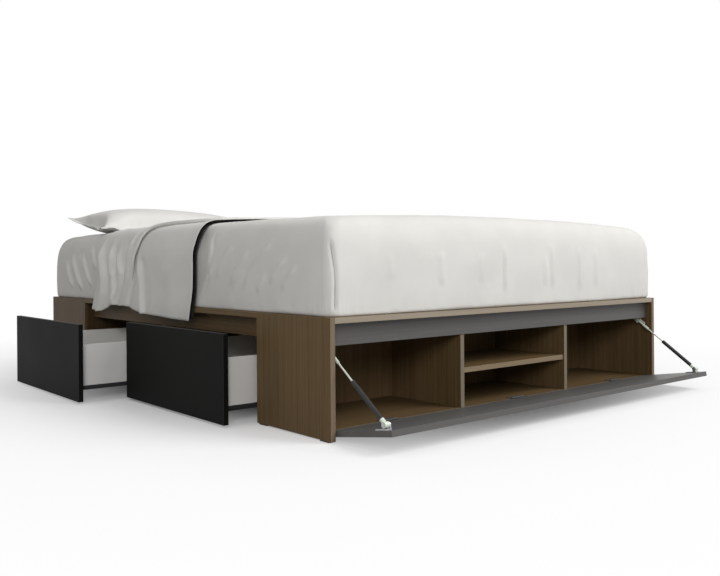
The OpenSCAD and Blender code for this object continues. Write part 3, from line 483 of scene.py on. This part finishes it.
# Corner seams: their ends up from the platform and down from the top edge, where they start round the corner and
# how far they drift as shares of it, the depth and width of their grooves, and the radius of the thread
SEAM_UP, SEAM_DOWN, SEAM_POINTS = 0.012, 0.052, 26
SEAM_START, SEAM_DRIFT = 0.30, 0.22
SEAM_DEPTH, SEAM_WIDTH, SEAM_THREAD = 0.0040, 0.0065, 0.0011
# The ends and sides out of sight are creased much the same: turned about, drawn in and shifted, a little shallower
FAR_SIDE, FAR_SIDE_DEPTH, HEAD_END = (-0.93, 0.05), 0.8, (-0.9, 0.06)
SLACK, RUMPLE = 0.0030, 0.0016                  # waves of the loose sides, and small ones everywhere


def seam_paths():
    """Where the four corner seams run, up each rounded corner of the mattress."""
    zs = np.linspace(deck_z + SEAM_UP, edge_z - SEAM_DOWN, SEAM_POINTS)
    angle = math.pi / 2 * (SEAM_START + SEAM_DRIFT * smooth((zs - 0.42) / 0.12))
    return [np.stack([sx * (half_w - CORNER + CORNER * np.sin(angle)),
                      sy * (half_l - CORNER + CORNER * np.cos(angle)), zs], 1)
            for sx, sy in ((-1, -1), (1, -1), (1, 1), (-1, 1))]


def mattress_surface():
    """Points of the made-up mattress as a grid [round, up, xyz], with its creases, corner seams and hem."""
    side = spline(SIDE, UP_SIDE)
    insets = np.concatenate([side[:, 0], np.arange(TOP_FROM, half_w - MIDDLE, TOP_STEP)])
    rings = []
    for k, inset in enumerate(insets):
        ring = outline(half_w - inset, half_l - inset, min(CORNER, half_w - inset - LEAST_EDGE), AROUND)
        top = mattress_top(ring[:, 0], ring[:, 1])
        z = edge_z + side[k, 1] + side[k, 2] * (top - edge_z) if k < len(side) else top
        rings.append(np.column_stack([ring, z]))
    p = np.stack(rings, 1)
    n = np.cross(np.roll(p, -1, 0) - np.roll(p, 1, 0), np.gradient(p, axis=1))
    n /= np.maximum(np.linalg.norm(n, axis=2, keepdims=True), 1e-12)
    x, y, z = p[..., 0], p[..., 1], p[..., 2]
    west, east, foot, head = (smooth((way * n[..., axis] - 0.5) / 0.4) for axis in (0, 1) for way in (-1, 1))
    push = np.zeros(x.shape)
    for line, width, height in SIDE_CREASES:
        push += west * ridge(y, z, line, width, height)
        push += east * ridge(y * FAR_SIDE[0] + FAR_SIDE[1], z, line, width, height * FAR_SIDE_DEPTH)
    for line, width, height in FOOT_CREASES:
        push += foot * ridge(x, z, line, width, height)
        push += head * ridge(x * HEAD_END[0] + HEAD_END[1], z, line, width, height)
    for path in seam_paths():
        off = np.hypot(x - np.interp(z, path[:, 2], path[:, 0]), y - np.interp(z, path[:, 2], path[:, 1]))
        tall = smooth((z - path[0, 2]) / 0.02) * smooth((path[-1, 2] - z) / 0.03)
        push -= SEAM_DEPTH * np.exp(-(off / SEAM_WIDTH) ** 2) * tall
    s = np.linspace(0, math.tau, AROUND, endpoint=False)[:, None]
    gather = sum(share * np.sin(count * s + at) for count, share, at in GATHERS)
    low = smooth((GATHER_TOP - z) / 0.07) * smooth((z - deck_z - 0.004) / 0.012)
    push += GATHER * gather * low * (0.55 + 0.45 * ripple(p, 3.1, 7.0))
    sides = west + east + foot + head
    push += SLACK * ripple(p, 4.5) * np.minimum(1, sides) + RUMPLE * ripple(p, 11.0, 3.0)
    push *= smooth((z - deck_z) / 0.01)
    return p + n * push[..., None]


def mattress(p):
    """The mattress in its sheet, closed over its grid of points."""
    nu, nv = p.shape[:2]
    faces = grid_faces(nu, nv, closed=True)
    faces.append(tuple(i * nv for i in range(nu))[::-1])
    # The slim strip in the middle of the top is closed by quads between its two long sides
    last = [i * nv + nv - 1 for i in range(nu)]
    ring = last[nu // 4:] + last[:nu // 4]
    faces += [(ring[k], ring[k + 1], ring[nu - 2 - k], ring[nu - 1 - k]) for k in range(nu // 2 - 1)]
    o = add_piece("mattress_in_fitted_sheet", p, faces, fitted)
    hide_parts("mattress")


def tube(name, path, radius, finish, sides=8):
    """A closed tube along a path, its ends drawn in."""
    ahead = np.gradient(path, axis=0)
    ahead /= np.linalg.norm(ahead, axis=1, keepdims=True)
    a = np.cross(ahead, (1.0, 0.3, 0.0))
    a /= np.linalg.norm(a, axis=1, keepdims=True)
    b = np.cross(ahead, a)
    n = len(path)
    t = np.linspace(0, 1, n)
    r = radius * np.sqrt(np.clip(np.minimum(t, 1 - t) * 14, 0.05, 1))
    turn = np.linspace(0, math.tau, sides, endpoint=False)[None, :, None]
    p = path[:, None] + r[:, None, None] * (np.cos(turn) * a[:, None] + np.sin(turn) * b[:, None])
    faces = [(i * sides + j, i * sides + (j + 1) % sides, (i + 1) * sides + (j + 1) % sides, (i + 1) * sides + j)
             for i in range(n - 1) for j in range(sides)]
    faces += [tuple(range(sides))[::-1], tuple((n - 1) * sides + j for j in range(sides))]
    add_piece(name, p, faces, finish)


def corner_seams(surface):
    """Corner seams of the fitted sheet, sewn in the grooves of the mattress's surface."""
    for k, path in enumerate(seam_paths()):
        sewn = []
        for want in path:
            d = np.linalg.norm(surface - want, axis=1)
            near = np.argsort(d)[:6]
            w = 1 / (d[near] + 1e-4)
            sewn.append((surface[near] * w[:, None]).sum(0) / w.sum())
        sewn = np.array(sewn)
        sewn[1:-1] = (sewn[:-2] + sewn[1:-1] + sewn[2:]) / 3
        tube(f"fitted_sheet_corner_seam_{k + 1}", sewn, SEAM_THREAD, seam_shade_grey)


made_up = mattress_surface()
mattress(made_up)
corner_seams(made_up.reshape(-1, 3))


# ------------------------------------------------------------------ top sheet

HANG = 0.546                                    # height where the sheet leaves the rounded edge
# Places along the bed by rise: the edge nearest the foot, the fold, and the edge nearest the head
FOOT_EDGE = [(0.282, -0.294), (0.326, -0.301), (0.383, -0.307), (0.448, -0.308), (0.512, -0.305), (0.548, -0.312),
             (0.62, -0.322)]
FOLD_LINE = [(0.28, 0.196), (0.33, 0.188), (0.373, 0.174), (0.414, 0.160), (0.447, 0.152), (0.503, 0.138),
             (0.530, 0.126), (0.560, 0.112), (0.585, 0.088), (0.606, 0.050), (0.622, 0.0), (0.636, -0.060),
             (0.652, -0.130), (0.672, -0.190), (0.700, -0.228), (0.760, -0.245), (1.10, -0.190), (1.60, -0.020),
             (2.05, 0.090), (2.10, 0.098)]
HEAD_EDGE = [(0.289, 0.553), (0.379, 0.525), (0.420, 0.508), (0.472, 0.496), (0.534, 0.481), (0.579, 0.472),
             (0.66, 0.448), (1.30, 0.432), (2.1, 0.455)]
# Height of the hem by place along the bed
HEM = [(-0.294, 0.282), (-0.182, 0.284), (-0.057, 0.288), (0.068, 0.291), (0.143, 0.301), (0.212, 0.314),
       (0.355, 0.316), (0.400, 0.300), (0.440, 0.287), (0.483, 0.283), (0.553, 0.289)]
# Distance of the hanging sheet from the middle of the bed by height, and its section over the mattress's edge, as
# (from the middle, height)
HANGING = [(0.27, 0.7965), (0.32, 0.7930), (0.36, 0.7888), (0.395, 0.7862), (0.44, 0.7858), (0.50, 0.7845),
           (0.525, 0.7812), (HANG, 0.7755)]
OVER_EDGE = np.array([(0.7755, HANG), (0.7727, 0.5540), (0.7685, 0.5625), (0.7625, 0.5715), (0.7560, 0.5778),
                      (0.7470, 0.5838), (0.7380, 0.5880), (0.7270, 0.5908), (0.7150, 0.5932)])
FLAT_HALF, FLAT_SKIP = 0.703, 0.013             # half the part on top, and its distance from the end of OVER_EDGE
SHEET_LOW, SHEET_UP = 0.285, 0.0022             # about the height of the hem; distance from the mattress's top
# Thickness of the sheet, and of the black strip that paints the shadow at its edge
SHEET_THICK, SHADOW_STRIP_THICK = 0.0013, 0.0008
BODY_LIFT, FOOT_EDGE_LIFT, HEAD_LIFT, HEAD_FALL = 0.0042, 0.0055, 0.0066, 0.0030    # its layers over that
HANG_POINTS, FLAT_POINTS, BODY_ROWS, HEAD_ROWS = 38, 130, 62, 66
# Folds of the near side and the top as (along the bed, rise), with their width and height
FOLDS = [
    ([(0.480, 0.58), (0.465, 0.49), (0.443, 0.425), (0.440, 0.359), (0.462, 0.301), (0.470, 0.18)], 0.020, 0.0195),
    ([(0.425, 0.56), (0.413, 0.472), (0.393, 0.412), (0.385, 0.360), (0.388, 0.317), (0.390, 0.18)], 0.017, -0.0082),
    ([(0.372, 0.58), (0.363, 0.506), (0.358, 0.446), (0.328, 0.382), (0.325, 0.336), (0.335, 0.300),
      (0.340, 0.18)], 0.017, 0.0175),
    ([(0.327, 0.55), (0.325, 0.505), (0.322, 0.472), (0.341, 0.430), (0.350, 0.39)], 0.013, -0.0073),
    ([(0.292, 0.56), (0.281, 0.472), (0.259, 0.438), (0.272, 0.383), (0.304, 0.336), (0.312, 0.18)], 0.015, 0.0160),
    ([(0.235, 0.58), (0.230, 0.522), (0.226, 0.471), (0.237, 0.414), (0.265, 0.363), (0.272, 0.26)], 0.015, -0.0073),
    ([(0.190, 0.60), (0.185, 0.504), (0.181, 0.455), (0.198, 0.406), (0.234, 0.355), (0.252, 0.321),
      (0.262, 0.18)], 0.015, 0.0175),
    ([(0.142, 0.480), (0.154, 0.407), (0.176, 0.365), (0.188, 0.320), (0.190, 0.22)], 0.012, -0.0065),
    ([(0.124, 0.520), (0.116, 0.487), (0.109, 0.447), (0.097, 0.386), (0.084, 0.327), (0.072, 0.296),
      (0.066, 0.18)], 0.014, 0.0110),
    ([(0.104, 0.503), (0.067, 0.447), (0.050, 0.387), (0.047, 0.328), (0.050, 0.301), (0.050, 0.22)], 0.018, -0.0056),
    ([(-0.10, 0.50), (-0.13, 0.42), (-0.14, 0.33), (-0.14, 0.20)], 0.060, 0.0049),
    ([(0.300, 0.66), (0.262, 0.95), (0.285, 1.25), (0.250, 1.60)], 0.022, 0.0050),
    ([(0.400, 0.62), (0.375, 0.85), (0.395, 1.15), (0.340, 1.45)], 0.020, 0.0055),
    ([(0.210, 0.62), (0.180, 0.80), (0.170, 1.05), (0.120, 1.35)], 0.024, 0.0050),
    ([(0.330, 1.10), (0.345, 1.45), (0.300, 1.80), (0.320, 2.05)], 0.022, 0.0055),
    ([(-0.08, 0.80), (-0.03, 1.20), (-0.10, 1.70)], 0.050, 0.0025),
    ([(-0.22, 0.90), (-0.20, 1.40), (-0.24, 1.95)], 0.045, 0.0025),
]
# Folds of the far side: place along the bed, lean, height
FAR_FOLDS = ((-0.20, 0.10, 0.005), (-0.06, -0.12, 0.006), (0.08, 0.16, 0.009), (0.17, -0.05, 0.011),
             (0.25, 0.10, 0.010), (0.33, -0.12, 0.012), (0.42, 0.08, 0.010))
FAR_WIDTH, BESIDE_WIDTH, BESIDE = 0.019, 0.014, 0.036   # their width, and the hollow beside each and its distance
FOLD_TAPER = 0.22
# The pleat where the sheet folds back, as (along the bed, above the mattress), in millimetres: on top, and at the hem
PLEAT = np.array([(-14, 4.2), (-6, 2.8), (4, 1.6), (14, 1.4), (21, 3.4), (16, 5.8), (7, 8.0), (-1, 10.6), (-5.4, 14.0),
                  (-3.4, 17.6), (3, 19.2), (13, 18.2), (27, 14.6), (44, 10.2), (62, 6.6)]) / 1000
PLEAT_EASED = np.array([(-16, 4.2), (-11, 3.9), (-7, 3.2), (-3, 1.8), (0, 0.8), (3, 1.4), (6, 3.8), (9, 6.8), (13, 9.4),
                        (18, 11.2), (24, 11.4), (32, 10.0), (40, 8.6), (48, 7.4), (56, 6.6)]) / 1000


def look_up(table, at):
    """Value of a table of (place, value) at a place, or at each of many."""
    places, values = np.array(table).T
    return np.interp(at, places, values)


def far_hem(y):
    """Height of the hem on the far side."""
    return 0.292 + 0.006 * np.sin(23 * y) + 0.004 * np.sin(51 * y + 1)


def sheet_column(rise, far, sway):
    """A column of the sheet, foot edge to head edge: places along the bed, and heights over what it lies on."""
    y_foot, y_fold, y_head = look_up(FOOT_EDGE, rise), look_up(FOLD_LINE, rise), look_up(HEAD_EDGE, rise)
    if far:
        y_fold, y_head = look_up(FOLD_LINE, min(rise, 0.54)) * 0.5 + 0.042, y_head + 0.01 * math.sin(9 * rise)
    y_fold += sway
    full = float(smooth((rise - 0.37) / 0.09))
    pleat = PLEAT * full + PLEAT_EASED * (1 - full)
    body, head = np.linspace(0, 1, BODY_ROWS)[:-1], np.linspace(0, 1, HEAD_ROWS)[1:]
    y_body = y_foot + (y_fold + pleat[0, 0] - y_foot) * body
    over_body = BODY_LIFT + FOOT_EDGE_LIFT * np.exp(-(y_body - y_foot) / 0.040)
    y_end = y_fold + pleat[-1, 0] + (y_head - y_fold - pleat[-1, 0]) * head
    over_end = HEAD_LIFT - HEAD_FALL * smooth((head - 0.1) / 0.8)
    return (np.concatenate([y_body, y_fold + pleat[:, 0], y_end]),
            np.concatenate([over_body, pleat[:, 1], over_end]))


def sheet_bumps(p, y, rise, far):
    """Folds and rumples of the sheet, as heights."""
    bump = np.zeros(y.shape)
    for line, width, height in FOLDS:
        bump += np.where(far, 0, ridge(y, rise, line, width, height, FOLD_TAPER))
    for y0, lean, high in FAR_FOLDS:
        line = [(y0 - 0.25 * lean, 0.60), (y0, 0.46), (y0 + 0.6 * lean, 0.36), (y0 + 0.5 * lean, 0.18)]
        beside = [(a + BESIDE, b) for a, b in line]
        bump += np.where(far, ridge(y, rise, line, FAR_WIDTH, high, FOLD_TAPER), 0)
        bump += np.where(far, ridge(y, rise, beside, BESIDE_WIDTH, -0.4 * high, FOLD_TAPER), 0)
    calm = np.where(y < 0.1, 0.5, 1.0)                      # its part towards the foot lies smoother
    return bump + calm * (0.0016 * ripple(p, 9.0, 4.0) + 0.0009 * ripple(p, 24.0, 9.0))


def top_sheet():
    """The sheet that lies folded across the bed. Gives its points as a grid [along, across, xyz]."""
    hang = np.linspace(0, 1, HANG_POINTS)[:-1]
    flat = np.linspace(-FLAT_HALF, FLAT_HALF, FLAT_POINTS)
    n_side = len(hang) + len(OVER_EDGE)
    count, rows = 2 * n_side + FLAT_POINTS, BODY_ROWS + len(PLEAT) + HEAD_ROWS - 2
    # Rise: the height while the sheet hangs, then the distance over the edge and the top
    over = HANG + np.concatenate([[0], np.cumsum(np.hypot(*np.diff(OVER_EDGE, axis=0).T))])
    rises = np.concatenate([SHEET_LOW + hang * (HANG - SHEET_LOW), over, over[-1] + (flat - flat[0]) + FLAT_SKIP])
    p, n = np.zeros((rows, count, 3)), np.zeros((rows, count, 2))
    y_all, rise_all, lift = (np.zeros((rows, count)) for _ in range(3))
    far = np.arange(count) >= n_side + FLAT_POINTS
    for k in range(count):
        j = count - 1 - k if far[k] else k
        sway = 0.006 * math.sin(7.0 * flat[k - n_side] + 1.0) if n_side <= j else 0.0
        y, lift[:, k] = sheet_column(rises[j], far[k], sway)
        rise = np.full_like(y, rises[j])
        if j < len(hang):
            hem = far_hem(y) if far[k] else look_up(HEM, y)
            z = rise = hem + hang[j] * (HANG - hem)
            x = look_up(HANGING, z)
            nx, nz = 1.0, 0.0
        elif j < n_side:
            m = j - len(hang)
            x = np.full_like(y, OVER_EDGE[m, 0])
            share = smooth((OVER_EDGE[m, 1] - HANG) / 0.05)
            z = OVER_EDGE[m, 1] + share * (mattress_top(x * 0.93, y) - edge_z) * 0.9
            d = OVER_EDGE[min(m + 1, len(OVER_EDGE) - 1)] - OVER_EDGE[max(m - 1, 0)]
            nx, nz = d[1] / np.linalg.norm(d), -d[0] / np.linalg.norm(d)
        else:
            x = np.full_like(y, flat[j - n_side])
            z = mattress_top(x, y) + SHEET_UP
            nx, nz = 0.0, 1.0
        side = -1 if k < n_side else 1
        p[:, k] = np.stack([x * side, y, z], 1)
        n[:, k] = nx * side, nz
        y_all[:, k], rise_all[:, k] = y, rise
    lift += np.maximum(sheet_bumps(p, y_all, rise_all, far), -0.6 * lift)
    p[..., 0] += n[..., 0] * lift
    p[..., 2] += n[..., 1] * lift
    o = add_piece("top_sheet_drape", p, grid_faces(rows, count), cover)
    thicken(o, SHEET_THICK)
    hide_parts("top_sheet")
    return p


# Section of the black strip that paints the shadow beside the sheet's edge nearest the foot, as (along the bed from the
# sheet's foot edge, under the sheet)
STRIP = [(-0.0120, 0.0075), (-0.0090, 0.0079), (0.002, 0.0085), (0.015, 0.0087), (0.03, 0.0087)]


def dark_edge(hem):
    """Narrow black strip, a painted shadow, that shows beside the sheet's edge nearest the foot."""
    run = np.gradient(hem, axis=0)
    inward = np.stack([run[:, 2], 0 * run[:, 0], -run[:, 0]], 1)
    inward /= np.maximum(np.linalg.norm(inward, axis=1, keepdims=True), 1e-9)
    p = np.stack([hem + inward * under + (0, along, 0) for along, under in STRIP])[:, 1:-1]
    o = add_piece("top_sheet_painted_shadow_strip", p, grid_faces(*p.shape[:2]), shadow_cloth)
    thicken(o, SHADOW_STRIP_THICK)


dark_edge(top_sheet()[0])


# ------------------------------------------------------------------ pillow

pillow_low, pillow_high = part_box("pillow")
PILLOW_HALF, PILLOW_MID = (pillow_high - pillow_low) / 2, (pillow_high + pillow_low) / 2
TICKING = (105, 59)                             # points of the pillow's mesh along and across it
GAP, UNEVEN = 0.003, 0.0006                     # half the gap between its two layers at first, and its unevenness
CUT = (1.03, 0.035), (1.05, 0.045)              # ticking along and across: size over the pillow's, bow of its edges
PRESSURE, FRAMES, RELAXED = 5.0, 22, 16         # blowing up: force and frames, and the smoothing passes after it
PILLOW_CROWN, PILLOW_FALL = 0.110, 0.34         # height, and how much of it is lost towards the middle of the bed
PILLOW_UNDER = 0.030                            # depth below its rim
WORN = 0.65                                     # share of the even form in the blown one
EAR = 0.062                                     # lift of the corner nearest the drawers and the head
EDGE_LIFT, MIDDLE_LIFT = 0.022, 0.008           # lift of the rim and of the middle
TOWARDS_FOOT, DRAWN_IN = 0.010, 0.93            # shift along the bed, and the share of its width that is left
PILLOW_UP = 0.003                               # distance from the mattress's top
FLANGE, FLANGE_CUT = 0.015, 0.018               # width of the case's border away from its loose corner; mean width
FLANGE_THICK, SEWN_IN = 0.0016, 0.004           # thickness of the border, and how far inside the rim it is sewn
FLANGE_UP = 0.0035                              # its least distance from the mattress's top


def ticking():
    """Two flat layers joined round the edge, ready to be blown up: points and faces."""
    nu, nv = TICKING
    uu, vv = np.meshgrid(np.linspace(-1, 1, nu), np.linspace(-1, 1, nv), indexing="ij")
    (long, bow_x), (wide, bow_y) = CUT
    x = PILLOW_HALF.x * long * uu * (1 - bow_x * (1 - vv ** 2) * uu ** 2)
    y = PILLOW_HALF.y * wide * vv * (1 - bow_y * (1 - uu ** 2) * vv ** 2)
    swell = GAP * (1 - uu ** 6) * (1 - vv ** 6)
    uneven = UNEVEN * ripple(np.stack([x, y, 0 * x], -1), 14.0, 2.0)
    upper, lower = (np.stack([x, y, way * swell + uneven], -1).reshape(-1, 3) for way in (1, -1))
    index = np.arange(nu * nv).reshape(nu, nv)
    under = index + nu * nv
    rim = np.ones((nu, nv), bool)
    rim[1:-1, 1:-1] = False
    under[rim] = index[rim]
    cells = [(i, j) for i in range(nu - 1) for j in range(nv - 1)]
    faces = [(index[i, j], index[i + 1, j], index[i + 1, j + 1], index[i, j + 1]) for i, j in cells]
    faces += [(under[i, j], under[i, j + 1], under[i + 1, j + 1], under[i + 1, j]) for i, j in cells]
    used = np.concatenate([np.ones(nu * nv, bool), ~rim.ravel()])
    number = np.cumsum(used) - 1
    return np.concatenate([upper, lower])[used], [tuple(int(number[i]) for i in f) for f in faces]


def inflate(o):
    """Blow a closed mesh up with the cloth solver and give the points it ends with."""
    scene = bpy.context.scene
    blow = o.modifiers.new("blow_up", "CLOTH")
    cloth = blow.settings
    cloth.quality, cloth.mass, cloth.air_damping = 6, 0.25, 3.0
    cloth.tension_stiffness = cloth.compression_stiffness = 14.0
    cloth.shear_stiffness, cloth.bending_stiffness = 4.0, 0.35
    cloth.use_pressure, cloth.uniform_pressure_force = True, PRESSURE
    cloth.effector_weights.gravity = 0.0
    scene.frame_start, scene.frame_end = 1, FRAMES
    for f in range(1, FRAMES + 1):
        scene.frame_set(f)
    done = o.evaluated_get(bpy.context.evaluated_depsgraph_get())
    pts = np.array([v.co[:] for v in done.data.vertices])
    o.modifiers.remove(blow)
    scene.frame_set(1)
    return pts


def relax(pts, faces, passes):
    """Even a mesh out: at each pass every point goes half-way to the middle of its neighbours."""
    ends = np.array([(f[k - 1], f[k]) for f in faces for k in range(len(f))])
    for _ in range(passes):
        total, count = np.zeros_like(pts), np.zeros((len(pts), 1))
        for a, b in ((0, 1), (1, 0)):
            np.add.at(total, ends[:, a], pts[ends[:, b]])
            np.add.at(count, ends[:, a], 1)
        pts = (pts + total / count) / 2
    return pts


def plump(u, v):
    """Height of an evenly filled pillow over its middle, as a share of its crown."""
    return np.clip(1 - np.abs(u) ** 3.2, 0, 1) ** 0.6 * np.clip(1 - np.abs(v) ** 2.4, 0, 1) ** 0.6


def pillow():
    """The pillow, blown up and laid on the mattress with one corner lifted."""
    pts, faces = ticking()
    o = add_piece("pillow_in_case", pts, faces, case)
    pts = relax(inflate(o), faces, RELAXED)
    lo, hi = pts.min(0), pts.max(0)
    across, length = ((pts[:, :2] - (lo + hi)[:2] / 2) * (2 * PILLOW_HALF.x, 2 * PILLOW_HALF.y) / (hi - lo)[:2]).T
    u, v = across / PILLOW_HALF.x, length / PILLOW_HALF.y
    z = pts[:, 2] / hi[2]                                   # 1 at the top of the crown
    z = (1 - WORN) * z + WORN * np.tanh(4 * z) * plump(u, v)
    ear = EAR * np.clip((1 - u) / 2, 0, 1) ** 5 * np.clip((1 + v) / 2, 0, 1) ** 1.5
    crown = PILLOW_CROWN * (1 - PILLOW_FALL * (1 + u) / 2) - 0.5 * ear
    z = np.where(z > 0, z * crown, z * PILLOW_UNDER)
    edge = np.maximum(np.abs(u), np.abs(v)) ** 5
    x, y = PILLOW_MID.x + across, PILLOW_MID.y - TOWARDS_FOOT + DRAWN_IN * length
    z = mattress_top(x, y) + PILLOW_UP + np.maximum(z + MIDDLE_LIFT * (1 - edge) + (EDGE_LIFT * edge + ear), 0.0)
    o.data.vertices.foreach_set("co", np.stack([x, y, z], 1).ravel())
    o.data.update()
    fine = o.modifiers.new("round", "SUBSURF")
    fine.levels = fine.render_levels = 1
    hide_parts("pillow")
    return o


def pillow_flange(cushion):
    """Flat border of the pillowcase, sewn round the pillow and crumpled at the corner nearest the drawers."""
    nu, nv = TICKING
    ring = ([i * nv for i in range(nu)] + [(nu - 1) * nv + j for j in range(1, nv)]
            + [i * nv + nv - 1 for i in range(nu - 2, -1, -1)] + list(range(nv - 2, 0, -1)))
    rim = np.array([cushion.data.vertices[i].co[:] for i in ring])
    rim = (np.roll(rim, 1, 0) + 2 * rim + np.roll(rim, -1, 0)) / 4
    run = np.roll(rim, -1, 0) - np.roll(rim, 1, 0)
    out = np.stack([run[:, 1], -run[:, 0], 0 * run[:, 0]], 1)
    for _ in range(6):
        out = (np.roll(out, 1, 0) + out + np.roll(out, -1, 0)) / 3
    out /= np.linalg.norm(out, axis=1, keepdims=True)
    round_rim = np.concatenate([[0], np.cumsum(np.linalg.norm(np.diff(rim, axis=0), axis=1))])
    from_corner = rim - rim.min(0)
    loose = np.exp(-(from_corner[:, 0] / 0.10) ** 2) * np.exp(-((from_corner[:, 1] - 0.06) / 0.12) ** 2)
    wave = (0.0014 + 0.0060 * loose) * np.sin(round_rim * 62) + 0.0014 * np.sin(round_rim * 33 + 1.0)
    rows = []
    for share in np.linspace(0, 1, 7):
        p = rim + out * (FLANGE * share * (1 + 0.5 * loose) - SEWN_IN)[:, None]
        p[:, 2] += wave * share ** 1.3 - (0.004 + 0.008 * loose) * share
        p[:, 2] = np.maximum(p[:, 2], mattress_top(p[:, 0], p[:, 1]) + FLANGE_UP)
        rows.append(p)
    p = np.stack(rows, 1)
    o = add_piece("pillowcase_flange", p, grid_faces(*p.shape[:2], closed=True), case)
    thicken(o, FLANGE_THICK)


pillow_flange(pillow())


# ------------------------------------------------------------------ studio

AMBIENT = 0.285                                 # strength of the white surroundings as a light
FLOOR_BOUNCE = 0.45                             # tone of the floor as the bed is lit by it
FLOOR_HALF = 14
EYE, HEADING, ROLL = (-2.0574, -2.6813, 0.4683), math.radians(50.15), -0.0078
LENS, FRAME_WIDTH, SHIFT_Y = 39.91, 36.0, -0.0342


def sky():
    """White surroundings that light the bed softly."""
    world = bpy.data.worlds.new("studio")
    bpy.context.scene.world = world
    world.use_nodes = True
    world.node_tree.nodes.clear()
    g = Graph(world.node_tree)
    light, white = (g.node("Background", None, {"Color": (1, 1, 1), "Strength": s}) for s in (AMBIENT, 1.0))
    g.node("OutputWorld", None, {0: g.node("MixShader", None, {0: g.seen(), 1: light, 2: white})})


def floor():
    """Pale floor: it keeps the shadow near the bed and runs out into the white of the backdrop."""
    me = bpy.data.meshes.new("floor")
    corners = [(-FLOOR_HALF, -FLOOR_HALF, 0), (FLOOR_HALF, -FLOOR_HALF, 0),
               (FLOOR_HALF, FLOOR_HALF, 0), (-FLOOR_HALF, FLOOR_HALF, 0)]
    me.from_pydata(corners, [], [(0, 1, 2, 3)])
    o = bpy.data.objects.new("floor", me)
    bpy.context.scene.collection.objects.link(o)
    f = Finish("floor_paint", (0.9, 0.9, 0.9), roughness=0.9, specular_ior_level=0.0)
    seen = f.seen()
    paint = f.blend(f.noise(1.5, 2.0), (0.92, 0.92, 0.92), (0.94, 0.94, 0.94))
    f.set(base_color=f.blend(seen, (FLOOR_BOUNCE,) * 3, paint))
    spot = f.node("VectorMath", {"operation": "MULTIPLY"}, {0: f.place, 1: (0.8, 0.66, 0)})
    away = f.node("VectorMath", {"operation": "LENGTH"}, {0: spot}, out=1)
    fade = away.step(0.50, 1.30) * 0.80 + away.step(1.1, 2.0) * 0.20
    white = f.node("Emission", None, {"Strength": 1.0})
    mix = f.node("MixShader", None, {0: seen * fade, 1: Sock(f, f.shader.outputs[0]), 2: white})
    link(f.tree.nodes["Material Output"].inputs[0], mix)
    me.materials.append(f.mat)


def lamp(name, at, aim, size, watts):
    """A square soft light."""
    light = bpy.data.lights.new(name, "AREA")
    light.shape, light.size, light.energy = "SQUARE", size, watts
    o = bpy.data.objects.new(name, light)
    o.location = at
    o.rotation_euler = (Vector(aim) - Vector(at)).to_track_quat("-Z", "Y").to_euler()
    bpy.context.scene.collection.objects.link(o)


def camera():
    """The camera of the photograph."""
    cam = bpy.data.cameras.new("camera")
    eye = bpy.data.objects.new("camera", cam)
    bpy.context.scene.collection.objects.link(eye)
    ahead = Vector((math.cos(HEADING), math.sin(HEADING), 0))
    right = Vector((math.sin(HEADING), -math.cos(HEADING), 0))
    up = Vector((0, 0, 1))
    right, up = math.cos(ROLL) * right + math.sin(ROLL) * up, math.cos(ROLL) * up - math.sin(ROLL) * right
    eye.matrix_world = Matrix.Translation(EYE) @ Matrix((right, up, -ahead)).transposed().to_4x4()
    cam.lens, cam.sensor_width, cam.shift_y, cam.clip_end = LENS, FRAME_WIDTH, SHIFT_Y, 100
    bpy.context.scene.camera = eye


bpy.context.scene.view_settings.view_transform = "Standard"
camera()
sky()
lamp("key", (2.5, -4.5, 4.6), (0, -0.2, 0.3), 3.2, 275)
lamp("fill", (-4.0, -4.9, 2.3), (-0.6, 0.0, 0.4), 1.6, 102)
lamp("above", (-1.7, -0.6, 4.2), (-0.6, -0.3, 0.5), 2.4, 13)
floor()
